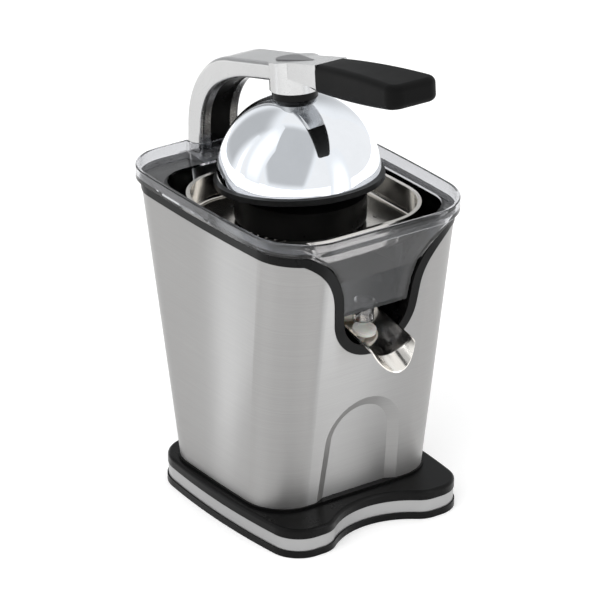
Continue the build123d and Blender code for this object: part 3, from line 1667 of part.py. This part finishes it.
ring_top = dome_level - dome_lip - face_gap
boss_radius = dome_neck_radius - seat_gap
with BuildPart() as dome_liner:
    with BuildSketch(lever_front):
        with BuildLine():
            Polyline(
                (liner_inner, dome_level),
                (liner_inner, ring_top - ring_height),
                (ring_radius, ring_top - ring_height),
                (ring_radius, ring_top),
                (liner_outer, ring_top),
                (liner_outer, dome_level),
            )
            ThreePointArc(
                (liner_outer, dome_level),
                on_dome(liner_outer, liner_outer * slant),
                on_dome(liner_outer, boss_radius),
            )
            Polyline(
                on_dome(liner_outer, boss_radius),
                (boss_radius, dome_seat - face_gap),
                (screw_bore, dome_seat - face_gap),
                on_dome(liner_inner, screw_bore),
            )
            ThreePointArc(
                on_dome(liner_inner, screw_bore),
                on_dome(liner_inner, liner_inner * slant),
                (liner_inner, dome_level),
            )
        make_face()
    revolve(axis=press_axis)
    for rib in range(liner_rib_count):
        with BuildSketch(raised(radial_plane(360 * (rib + 0.5) / liner_rib_count))):
            rib_outer = liner_inner + liner_wall / 2
            rib_inner = liner_inner - liner_rib_depth
            with BuildLine():
                ThreePointArc(
                    (rib_outer, dome_level),
                    on_dome(rib_outer, rib_outer * slant),
                    on_dome(rib_outer, boss_radius),
                )
                Line(on_dome(rib_outer, boss_radius), on_dome(rib_inner, boss_radius))
                ThreePointArc(
                    on_dome(rib_inner, boss_radius),
                    on_dome(rib_inner, rib_inner * slant),
                    (rib_inner, dome_level),
                )
                Line((rib_inner, dome_level), (rib_outer, dome_level))
            make_face()
        extrude(amount=liner_rib_thickness / 2, both=True)
finish(dome_liner.part, "dome_liner")

# Spout: a steel channel that slopes to the front, with a lip bent further down
lip_start = along_spout(spout_lip_run, 0)
lip_middle, lip_end = bend(lip_start, 180 + spout_tilt, spout_lip_bend_radius, spout_lip_turn)
lip_heading = radians(180 + spout_tilt + spout_lip_turn)
lip_length = spout_channel_depth * 2
lip_tip = (lip_end[0] + lip_length * cos(lip_heading), lip_end[1] + lip_length * sin(lip_heading))


def channel_sweep(radius, skip):
    """The channel filled up to its rim, as a solid of an outer radius, from a skip along its run."""
    start = along_spout(skip, 0)
    with BuildPart() as filled:
        with BuildLine(Plane.YZ) as run:
            Line(start, lip_start)
            ThreePointArc(lip_start, lip_middle, lip_end)
            Line(lip_end, lip_tip)
        with BuildSketch(spout_plane(start, -cos(tilt), -sin(tilt))):
            with Locations((0, spout_radius - spout_channel_depth)):
                Circle(radius)
            Rectangle(radius * 4, radius * 4, align=(Align.CENTER, Align.MIN), mode=Mode.SUBTRACT)
        sweep(path=run.line)
    return filled.part


def spout_plane(point, along_y, along_z):
    """Plane at a point of the YZ plane with its normal in the YZ plane."""
    return Plane(origin=(0, point[0], point[1]), x_dir=(1, 0, 0), z_dir=(0, along_y, along_z))


pad_plane = spout_plane(along_spout(pad_run, -spout_floor), -sin(tilt), cos(tilt))
with BuildPart() as spout:
    add(channel_sweep(spout_radius, 0))
    with BuildSketch(Plane.XY):
        with BuildLine():
            Polyline(
                (spout_radius, -spout_nose_y),
                (spout_radius, 0),
                (-spout_radius, 0),
                (-spout_radius, -spout_nose_y),
            )
            ThreePointArc(
                (-spout_radius, -spout_nose_y), (0, -spout_tip_y), (spout_radius, -spout_nose_y)
            )
        make_face()
    extrude(amount=spout_rim_level * 2, mode=Mode.INTERSECT)
    add(channel_sweep(spout_radius - spout_sheet, spout_sheet), mode=Mode.SUBTRACT)
    with BuildSketch(pad_plane):
        Circle(pad_stem_radius + running_gap)
    extrude(amount=spout_sheet * 2, both=True, mode=Mode.SUBTRACT)
finish(spout.part, "spout")

stem_length = pad_lift + spout_sheet + carrier_thickness + face_gap
stem_end_radius = pad_stem_radius * 1.5

# Spout carrier: the lever under the channel, with a knuckle on the spout pin
carrier_top = along_spout(0, carrier_seat - spout_channel_depth)
carrier_end_top = along_spout(carrier_run, carrier_seat - spout_channel_depth)
carrier_end_bottom = along_spout(carrier_run, -spout_channel_depth - carrier_thickness)
with BuildPart() as spout_carrier:
    with BuildSketch(Plane.YZ):
        with BuildLine():
            Polyline(
                (-spout_pivot_y, spout_pivot_z - knuckle_radius),
                carrier_end_bottom,
                carrier_end_top,
                carrier_top,
                (-spout_pivot_y, spout_pivot_z + knuckle_radius),
                close=True,
            )
        make_face()
        with Locations((-spout_pivot_y, spout_pivot_z)):
            Circle(knuckle_radius)
            Circle(spout_pin_radius + running_gap, mode=Mode.SUBTRACT)
    extrude(amount=carrier_half_width, both=True)
    add(channel_sweep(spout_radius + face_gap, -face_gap), mode=Mode.SUBTRACT)
    with BuildSketch(pad_plane):
        Circle(pad_stem_radius + running_gap)
    extrude(amount=-spout_channel_depth, mode=Mode.SUBTRACT)
    with BuildSketch(pad_plane.offset(pad_lift - stem_length + face_gap)):
        Circle(stem_end_radius + seat_gap)
    extrude(amount=-spout_channel_depth, mode=Mode.SUBTRACT)
finish(spout_carrier.part, "spout_carrier")

# Drip seal: a dished silicone pad whose stem holds the channel to the carrier
with BuildPart() as drip_seal:
    with BuildSketch(pad_plane.offset(pad_lift)):
        Circle(pad_radius)
    extrude(amount=pad_thickness)
    with BuildSketch(pad_plane.offset(pad_lift + pad_thickness)):
        Circle(pad_dish_radius)
    extrude(amount=-pad_dish_depth, mode=Mode.SUBTRACT)
    with BuildSketch(pad_plane.offset(pad_lift)):
        Circle(pad_stem_radius)
    extrude(amount=-stem_length)
    with BuildSketch(pad_plane.offset(pad_lift - stem_length)):
        Circle(stem_end_radius)
    extrude(amount=-pad_stem_radius / 2)
finish(drip_seal.part, "drip_seal")

with BuildPart() as spout_pin:
    with BuildSketch(Plane.YZ):
        with Locations((-spout_pivot_y, spout_pivot_z)):
            Circle(spout_pin_radius)
    extrude(amount=cradle_outer, both=True)
finish(spout_pin.part, "spout_pin")

# Spout cradle: two ears under the deck on a bridge
cradle_height = deck_level - spout_pivot_z + knuckle_radius
with BuildPart() as spout_cradle:
    with Locations((0, -spout_pivot_y, deck_level)):
        Box(cradle_outer * 2, cradle_depth, cradle_height, align=(Align.CENTER, Align.CENTER, Align.MAX))
    with Locations((0, -spout_pivot_y, deck_level - cradle_bridge)):
        Box(
            cradle_inner * 2,
            cradle_depth,
            cradle_height,
            align=(Align.CENTER, Align.CENTER, Align.MAX),
            mode=Mode.SUBTRACT,
        )
    with BuildSketch(Plane.YZ):
        with Locations((-spout_pivot_y, spout_pivot_z)):
            Circle(spout_pin_radius + running_gap)
    extrude(amount=cradle_outer, both=True, mode=Mode.SUBTRACT)
finish(spout_cradle.part, "spout_cradle")

# Cord gland, clamped through the back of the shell
with BuildPart() as cord_gland:
    with BuildSketch(gland_plane):
        Circle(gland_flange_radius)
    extrude(amount=gland_flange_thickness)
    with BuildSketch(gland_plane):
        Circle(gland_barrel_radius)
    extrude(amount=-shell_thickness - gland_flange_thickness - face_gap)
    with BuildSketch(gland_plane.offset(-shell_thickness - face_gap)):
        Circle(gland_flange_radius)
    extrude(amount=-gland_flange_thickness)
    with BuildSketch(gland_plane):
        Circle(gland_bore_radius)
    extrude(amount=gland_flange_thickness * 4, both=True, mode=Mode.SUBTRACT)
finish(cord_gland.part, "cord_gland")
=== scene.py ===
import json
from math import cos, radians, sin

import bpy
from mathutils import Matrix, Vector


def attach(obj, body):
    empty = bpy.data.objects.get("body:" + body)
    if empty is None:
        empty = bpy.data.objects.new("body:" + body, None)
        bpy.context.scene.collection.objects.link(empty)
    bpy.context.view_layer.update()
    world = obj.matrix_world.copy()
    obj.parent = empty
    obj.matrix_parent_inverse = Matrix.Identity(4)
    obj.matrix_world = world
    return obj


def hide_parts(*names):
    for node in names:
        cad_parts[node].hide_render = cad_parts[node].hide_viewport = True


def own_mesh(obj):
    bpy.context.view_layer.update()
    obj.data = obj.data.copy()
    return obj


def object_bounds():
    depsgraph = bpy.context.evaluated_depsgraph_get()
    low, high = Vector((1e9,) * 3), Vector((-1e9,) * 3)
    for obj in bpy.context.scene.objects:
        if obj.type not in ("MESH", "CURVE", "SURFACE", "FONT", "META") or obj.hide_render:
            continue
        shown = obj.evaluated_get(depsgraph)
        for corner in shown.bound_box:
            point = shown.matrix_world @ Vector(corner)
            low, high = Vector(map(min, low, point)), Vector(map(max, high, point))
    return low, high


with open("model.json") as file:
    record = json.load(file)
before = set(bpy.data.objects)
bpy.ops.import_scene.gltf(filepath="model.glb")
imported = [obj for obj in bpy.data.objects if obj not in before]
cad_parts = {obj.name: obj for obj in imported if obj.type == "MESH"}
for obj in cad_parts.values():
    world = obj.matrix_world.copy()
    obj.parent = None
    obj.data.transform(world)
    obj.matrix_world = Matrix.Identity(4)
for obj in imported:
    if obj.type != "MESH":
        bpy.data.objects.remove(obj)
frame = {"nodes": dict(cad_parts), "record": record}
cad_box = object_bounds()
nodes = frame["nodes"]
scene = bpy.context.scene

# Camera of the photograph: it looks down at the front left corner from far away
VIEW_AZIMUTH = radians(36.0)
VIEW_ELEVATION = radians(24.52)
VIEW_ROLL = radians(0.57)
VIEW_DISTANCE = 2.9518
VIEW_TARGET = Vector((0.0, -0.00044, 0.14824))
VIEW_LENS = 244.4
SENSOR_WIDTH = 36.0
CLIP_END = 50.0

# Surroundings: the light that they give and how bright they are seen
WHITE = (1.0, 1.0, 1.0, 1.0)
WORLD_FILL = 0.55
WORLD_SEEN = 1.0

# Floor
FLOOR_SHADE = 0.86
FLOOR_ROUGHNESS = 0.9
FLOOR_GLOW = 0.3
FLOOR_WHITE_FROM = 0.6
FLOOR_WHITE_AT = 2.4
FLOOR_SIZE = 12.0
FLOOR_GAP = 0.0002

# Soft boxes: name, place, size and power
LIGHT_TARGET = Vector((0.0, 0.0, 0.2))
STUDIO_LIGHTS = (
    ("key_light", (-1.7, -0.6, 1.9), (2.2, 2.2), 34.0),
    ("front_light", (1.2, -2.2, 1.2), (1.2, 2.0), 14.0),
    ("top_light", (0.2, 0.3, 2.4), (2.4, 2.4), 16.0),
)

# Cards that show only in reflections: name, azimuth and elevation in degrees, distance, size, shade in
# the middle, and the share of a side in which that shade fades out
CARD_WARMTH = -0.015
CARD_MIDDLE = 0.5
STUDIO_CARDS = (
    ("card_front", 54.0, 45.0, 3.0, (4.2, 6.0), 0.6, 0.16),
    ("card_bright", 104.0, 35.0, 3.0, (1.6, 5.0), 1.25, 0.3),
    ("card_left", 160.0, 30.0, 3.0, (3.0, 5.0), 0.55, 0.3),
    ("card_back", 216.0, 25.0, 3.0, (4.6, 4.6), 0.5, 0.5),
    ("strip_left", 122.0, 0.0, 0.262, (0.05, 1.0), 3.2, 0.5),
    ("strip_front", 341.0, 0.0, 0.298, (0.16, 1.0), 2.6, 0.5),
)

# Corners of a flat sheet as shares of its half width and half height
SHEET_CORNERS = ((-1, -1), (1, -1), (1, 1), (-1, 1))

# Most values of a noise texture lie between these two
NOISE_LOW = 0.3
NOISE_HIGH = 0.7

# Black plastics: shade, roughness, gloss, scale of the grain and its height
BLACK_PLASTICS = {
    "black_plastic": (0.004, 0.3, 0.11, 900.0, 0.00002),
    "soft_grip": (0.004, 0.5, 0.07, 700.0, 0.00004),
    "rubber": (0.016, 0.75, 0.2, 500.0, 0.00006),
}

# Satin metals: shade and roughness
SATIN_METALS = {
    "satin_aluminium": (0.39, 0.32),
    "cast_aluminium": (0.52, 0.26),
    "bare_steel": (0.52, 0.3),
    "motor_iron": (0.28, 0.5),
}

# Polished metals: colour and roughness
POLISHED_METALS = {
    "polished_steel": ((0.86, 0.83, 0.78), 0.17),
    "chrome": ((0.86, 0.885, 0.92), 0.05),
    "bush_brass": ((0.68, 0.5, 0.25), 0.25),
}

# Plain plastics: colour and roughness
PLAIN_PLASTICS = {
    "cap_plastic": ((0.12, 0.12, 0.125), 0.4),
    "washer_plastic": ((0.75, 0.73, 0.66), 0.5),
    "gear_plastic": ((0.8, 0.79, 0.74), 0.45),
}


def add_camera():
    """Place the camera at the photograph's viewpoint."""
    back = Vector((
        -sin(VIEW_AZIMUTH) * cos(VIEW_ELEVATION),
        -cos(VIEW_AZIMUTH) * cos(VIEW_ELEVATION),
        sin(VIEW_ELEVATION),
    ))
    level = Vector((cos(VIEW_AZIMUTH), -sin(VIEW_AZIMUTH), 0.0))
    rise = back.cross(level)
    right = level * cos(VIEW_ROLL) + rise * sin(VIEW_ROLL)
    up = rise * cos(VIEW_ROLL) - level * sin(VIEW_ROLL)
    turn = Matrix((right, up, back)).transposed().to_4x4()
    camera = bpy.data.objects.new("camera", bpy.data.cameras.new("camera"))
    camera.data.lens = VIEW_LENS
    camera.data.sensor_width = SENSOR_WIDTH
    camera.data.clip_end = CLIP_END
    camera.matrix_world = Matrix.Translation(VIEW_TARGET + back * VIEW_DISTANCE) @ turn
    scene.collection.objects.link(camera)
    scene.camera = camera


class Shader:
    """A material with a Principled shader and short ways to add texture nodes."""

    def __init__(self, name, colour, roughness, metallic=0.0, **sockets):
        self.material = bpy.data.materials.new(name)
        self.material.use_nodes = True
        self.tree = self.material.node_tree
        self.shader = self.tree.nodes["Principled BSDF"]
        self.shader.inputs["Base Color"].default_value = (*colour, 1.0)
        self.shader.inputs["Roughness"].default_value = roughness
        self.shader.inputs["Metallic"].default_value = metallic
        for socket, value in sockets.items():
            self.shader.inputs[socket.replace("_", " ")].default_value = value

    def node(self, kind, **values):
        """Add a node and set its inputs and properties by name."""
        made = self.tree.nodes.new(kind)
        for key, value in values.items():
            if hasattr(made, key):
                setattr(made, key, value)
            else:
                made.inputs[key.replace("_", " ")].default_value = value
        return made

    def link(self, source, target):
        """Join an output to an input."""
        self.tree.links.new(source, target)

    def combine(self, operation, first, second):
        """Make one value from two by an operation such as a sum or a product."""
        made = self.node("ShaderNodeMath", operation=operation)
        self.link(first, made.inputs[0])
        self.link(second, made.inputs[1])
        return made.outputs[0]

    def noise(self, scale, stretch=(1.0, 1.0, 1.0), detail=3.0, roughness=0.5):
        """Noise in object space, stretched by a factor along each axis."""
        coordinates = self.node("ShaderNodeTexCoord")
        mapping = self.node("ShaderNodeMapping", Scale=stretch)
        texture = self.node("ShaderNodeTexNoise", Scale=scale, Detail=detail, Roughness=roughness)
        self.link(coordinates.outputs["Object"], mapping.inputs["Vector"])
        self.link(mapping.outputs["Vector"], texture.inputs["Vector"])
        return texture.outputs["Fac"]

    def average(self, first, second):
        """Mean of two values."""
        half = self.node("ShaderNodeMath", operation="MULTIPLY")
        half.inputs[1].default_value = 0.5
        self.link(self.combine("ADD", first, second), half.inputs[0])
        return half.outputs[0]

    def tint(self, value, dark, light, start=NOISE_LOW, end=NOISE_HIGH):
        """Map a noise value to a colour between two colours and use it as the base colour."""
        ramp = self.node("ShaderNodeValToRGB")
        for element, position, colour in zip(ramp.color_ramp.elements, (start, end), (dark, light)):
            element.position = position
            element.color = (*colour, 1.0)
        self.link(value, ramp.inputs["Fac"])
        self.link(ramp.outputs["Color"], self.shader.inputs["Base Color"])

    def rough(self, value, low, high):
        """Map a noise value to a range of roughness."""
        ranged = self.node(
            "ShaderNodeMapRange", From_Min=NOISE_LOW, From_Max=NOISE_HIGH, To_Min=low, To_Max=high
        )
        self.link(value, ranged.inputs["Value"])
        self.link(ranged.outputs["Result"], self.shader.inputs["Roughness"])

    def bump(self, value, height, strength):
        """Bump of a real height in metres."""
        made = self.node("ShaderNodeBump", Strength=strength, Distance=height)
        self.link(value, made.inputs["Height"])
        self.link(made.outputs["Normal"], self.shader.inputs["Normal"])


def grey(value, warmth=0.0):
    """Grey colour, a little warmer or cooler."""
    return (value * (1 + warmth), value, value * (1 - warmth))


def shaded(colour, share):
    """Colour made darker or lighter by a share, no lighter than white."""
    return tuple(min(1.0, channel * share) for channel in colour)


def brushed_steel():
    """Steel sheet with fine level brushing."""
    made = Shader(
        "brushed_steel",
        colour=grey(0.35),
        roughness=0.31,
        metallic=1.0,
        Anisotropic=1.0,
        Anisotropic_Rotation=0.25,
    )
    long_strokes = made.noise(scale=1.5, stretch=(1.0, 1.0, 1100.0), detail=4.0, roughness=0.7)
    short_strokes = made.noise(scale=22.0, stretch=(1.0, 1.0, 130.0), detail=4.0, roughness=0.7)
    strokes = made.average(long_strokes, short_strokes)
    cloud = made.noise(scale=5.0, stretch=(1.0, 1.0, 0.5), detail=2.0)
    dark, light = grey(0.325, warmth=0.012), grey(0.375, warmth=0.014)
    made.tint(strokes, dark, light, start=0.35, end=0.65)
    made.rough(cloud, low=0.29, high=0.33)
    made.bump(strokes, height=0.000004, strength=0.4)
    tangent = made.node("ShaderNodeTangent", direction_type="RADIAL", axis="Z")
    made.link(tangent.outputs["Tangent"], made.shader.inputs["Tangent"])
    return made.material


def black_plastic(name, shade, roughness, gloss, grain_scale, grain_height):
    """Moulded black plastic with a fine even grain and faint wear."""
    dark_share, light_share = 0.8, 1.35
    smoother, rougher = 0.05, 0.06
    made = Shader(name, grey(shade), roughness, Specular_IOR_Level=gloss)
    grain = made.noise(grain_scale, detail=4.0)
    wear = made.noise(scale=28.0, detail=5.0)
    made.tint(wear, grey(shade * dark_share), grey(shade * light_share))
    made.rough(wear, roughness - smoother, roughness + rougher)
    made.bump(grain, grain_height, strength=0.35)
    return made.material


def satin_metal(name, shade, roughness):
    """Satin silver metal with a fine sparkle."""
    dark_share, light_share = 0.95, 1.04
    smoother, rougher = 0.01, 0.02
    made = Shader(name, grey(shade), roughness, metallic=1.0)
    flake = made.noise(scale=1400.0, detail=2.0)
    cloud = made.noise(scale=14.0, detail=3.0)
    made.tint(cloud, grey(shade * dark_share), grey(shade * light_share))
    made.rough(flake, roughness - smoother, roughness + rougher)
    made.bump(flake, height=0.000002, strength=0.06)
    return made.material


def polished_metal(name, colour, roughness):
    """Polished metal with very faint marks."""
    dark_share = 0.96
    smooth_share, rough_share = 0.85, 1.2
    made = Shader(name, colour, roughness, metallic=1.0)
    marks = made.noise(scale=60.0, detail=6.0, roughness=0.65)
    made.tint(marks, shaded(colour, dark_share), colour)
    made.rough(marks, roughness * smooth_share, roughness * rough_share)
    return made.material


def clear_plastic():
    """Clear moulded plastic, slightly smoked."""
    made = Shader(
        "clear_plastic", colour=(0.62, 0.625, 0.645), roughness=0.03, Transmission_Weight=1.0, IOR=1.45
    )
    flow = made.noise(scale=9.0, stretch=(1.0, 1.0, 2.0), detail=3.0)
    made.rough(flow, low=0.015, high=0.06)
    made.bump(flow, height=0.0002, strength=0.15)
    return made.material


def silicone():
    """Off-white silicone, a little translucent."""
    made = Shader(
        "silicone",
        colour=(0.82, 0.81, 0.77),
        roughness=0.42,
        Subsurface_Weight=0.2,
        Subsurface_Scale=0.002,
    )
    cloud = made.noise(scale=90.0, detail=3.0)
    made.tint(cloud, dark=(0.78, 0.77, 0.73), light=(0.86, 0.85, 0.82))
    made.rough(cloud, low=0.36, high=0.5)
    made.bump(made.noise(scale=1200.0), height=0.00001, strength=0.3)
    return made.material


def plain_plastic(name, colour, roughness):
    """Unpainted moulded plastic."""
    dark_share, light_share = 0.92, 1.05
    spread = 0.05
    made = Shader(name, colour, roughness)
    cloud = made.noise(scale=60.0, detail=4.0)
    made.tint(cloud, shaded(colour, dark_share), shaded(colour, light_share))
    made.rough(cloud, roughness - spread, roughness + spread)
    made.bump(made.noise(scale=1000.0), height=0.00001, strength=0.3)
    return made.material


def add_materials():
    """Give every slot of the record its material on all the nodes that use it."""
    made = {"brushed_steel": brushed_steel(), "clear_plastic": clear_plastic(), "silicone": silicone()}
    families = (
        (black_plastic, BLACK_PLASTICS),
        (satin_metal, SATIN_METALS),
        (polished_metal, POLISHED_METALS),
        (plain_plastic, PLAIN_PLASTICS),
    )
    for finish, looks in families:
        for name, values in looks.items():
            made[name] = finish(name, *values)
    for row in frame["record"]["subparts"]:
        slots = nodes[row["node"]].data.materials
        slots.clear()
        slots.append(made[row["material_slot"]])


def add_press_spring():
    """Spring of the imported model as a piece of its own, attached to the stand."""
    coil = bpy.data.objects.new("press_spring_coil", nodes["press_spring"].data.copy())
    scene.collection.objects.link(coil)
    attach(coil, "stand")
    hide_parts("press_spring")
    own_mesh(coil)


def area_light(name, place, size, power):
    """Soft box that shines from a place to the middle of the object."""
    lamp = bpy.data.lights.new(name, "AREA")
    lamp.shape = "RECTANGLE"
    lamp.size, lamp.size_y = size
    lamp.energy = power
    light = bpy.data.objects.new(name, lamp)
    light.location = place
    light.visible_glossy = False
    light.rotation_euler = (LIGHT_TARGET - Vector(place)).to_track_quat("-Z", "Y").to_euler()
    scene.collection.objects.link(light)


def flat_sheet(name, middle, across, upward):
    """Flat sheet of the stage from its middle and its two half sides."""
    corners = [tuple(middle + across * x + upward * y) for x, y in SHEET_CORNERS]
    mesh = bpy.data.meshes.new(name)
    mesh.from_pydata(corners, [], [(0, 1, 2, 3)])
    sheet = bpy.data.objects.new(name, mesh)
    scene.collection.objects.link(sheet)
    return sheet


def card_glow(name, shade, edge):
    """Glow as bright as the surroundings at the edges of a card, with its own shade in the middle."""
    made = Shader(name, colour=grey(0.0), roughness=1.0, Specular_IOR_Level=0.0)
    place = made.node("ShaderNodeTexCoord")
    split = made.node("ShaderNodeSeparateXYZ")
    made.link(place.outputs["UV"], split.inputs[0])
    fades = []
    for side in ("X", "Y"):
        wave = made.node("ShaderNodeMath", operation="PINGPONG")
        wave.inputs[1].default_value = CARD_MIDDLE
        soft = made.node("ShaderNodeMapRange", interpolation_type="SMOOTHERSTEP", From_Max=edge)
        made.link(split.outputs[side], wave.inputs[0])
        made.link(wave.outputs[0], soft.inputs["Value"])
        fades.append(soft.outputs["Result"])
    level = made.node("ShaderNodeMapRange", To_Min=WORLD_SEEN, To_Max=shade)
    made.link(made.combine("MULTIPLY", *fades), level.inputs["Value"])
    made.shader.inputs["Emission Color"].default_value = (*grey(1.0, CARD_WARMTH), 1.0)
    made.link(level.outputs["Result"], made.shader.inputs["Emission Strength"])
    return made.material


def reflected_card(name, azimuth, elevation, distance, size, shade, edge):
    """Card that faces the object, shows only in reflections and fades out at its edges."""
    turn, rise = radians(azimuth), radians(elevation)
    middle = Vector((-sin(turn) * cos(rise), -cos(turn) * cos(rise), sin(rise))) * distance
    across = Vector((cos(turn), -sin(turn), 0.0)) * (size[0] / 2)
    upward = Vector((sin(turn) * sin(rise), cos(turn) * sin(rise), cos(rise))) * (size[1] / 2)
    card = flat_sheet(name, middle, across, upward)
    places = card.data.uv_layers.new(name="card").data
    for place, (x, y) in zip(places, SHEET_CORNERS):
        place.uv = ((x + 1) / 2, (y + 1) / 2)
    card.data.materials.append(card_glow(name, shade, edge))
    card.visible_camera = False
    card.visible_diffuse = False
    card.visible_shadow = False
    card.visible_transmission = False


def seen_ray(tree):
    """A value of 1 for camera, glossy and transmission rays."""
    rays = tree.nodes.new("ShaderNodeLightPath")
    total = rays.outputs["Is Camera Ray"]
    for name in ("Is Glossy Ray", "Is Transmission Ray"):
        step = tree.nodes.new("ShaderNodeMath")
        step.operation = "MAXIMUM"
        tree.links.new(total, step.inputs[0])
        tree.links.new(rays.outputs[name], step.inputs[1])
        total = step.outputs[0]
    return total


def add_world():
    """White surroundings that give the object less light than they show."""
    world = bpy.data.worlds.new("studio")
    scene.world = world
    world.use_nodes = True
    tree = world.node_tree
    background = tree.nodes["Background"]
    background.inputs["Color"].default_value = WHITE
    level = tree.nodes.new("ShaderNodeMapRange")
    level.inputs["To Min"].default_value = WORLD_FILL
    level.inputs["To Max"].default_value = WORLD_SEEN
    tree.links.new(seen_ray(tree), level.inputs["Value"])
    tree.links.new(level.outputs["Result"], background.inputs["Strength"])


def add_floor():
    """Pale floor that keeps the object's shadow and turns white further out."""
    half = FLOOR_SIZE / 2
    floor = flat_sheet("floor", Vector(), Vector((half, 0.0, 0.0)), Vector((0.0, half, 0.0)))
    floor.location = (0.0, 0.0, cad_box[0][2] - FLOOR_GAP)
    paper = Shader("floor_paper", grey(FLOOR_SHADE), FLOOR_ROUGHNESS, Emission_Color=WHITE)
    place = paper.node("ShaderNodeTexCoord")
    reach = paper.node("ShaderNodeVectorMath", operation="LENGTH")
    glow = paper.node(
        "ShaderNodeMapRange",
        interpolation_type="SMOOTHSTEP",
        From_Min=FLOOR_WHITE_FROM,
        From_Max=FLOOR_WHITE_AT,
        To_Min=FLOOR_GLOW,
    )
    paper.link(place.outputs["Object"], reach.inputs[0])
    paper.link(reach.outputs["Value"], glow.inputs["Value"])
    seen_glow = paper.combine("MULTIPLY", seen_ray(paper.tree), glow.outputs["Result"])
    paper.link(seen_glow, paper.shader.inputs["Emission Strength"])
    floor.data.materials.append(paper.material)


add_camera()
add_materials()
add_press_spring()
add_world()
add_floor()
for studio_light in STUDIO_LIGHTS:
    area_light(*studio_light)
for studio_card in STUDIO_CARDS:
    reflected_card(*studio_card)
scene.view_settings.view_transform = "Standard"
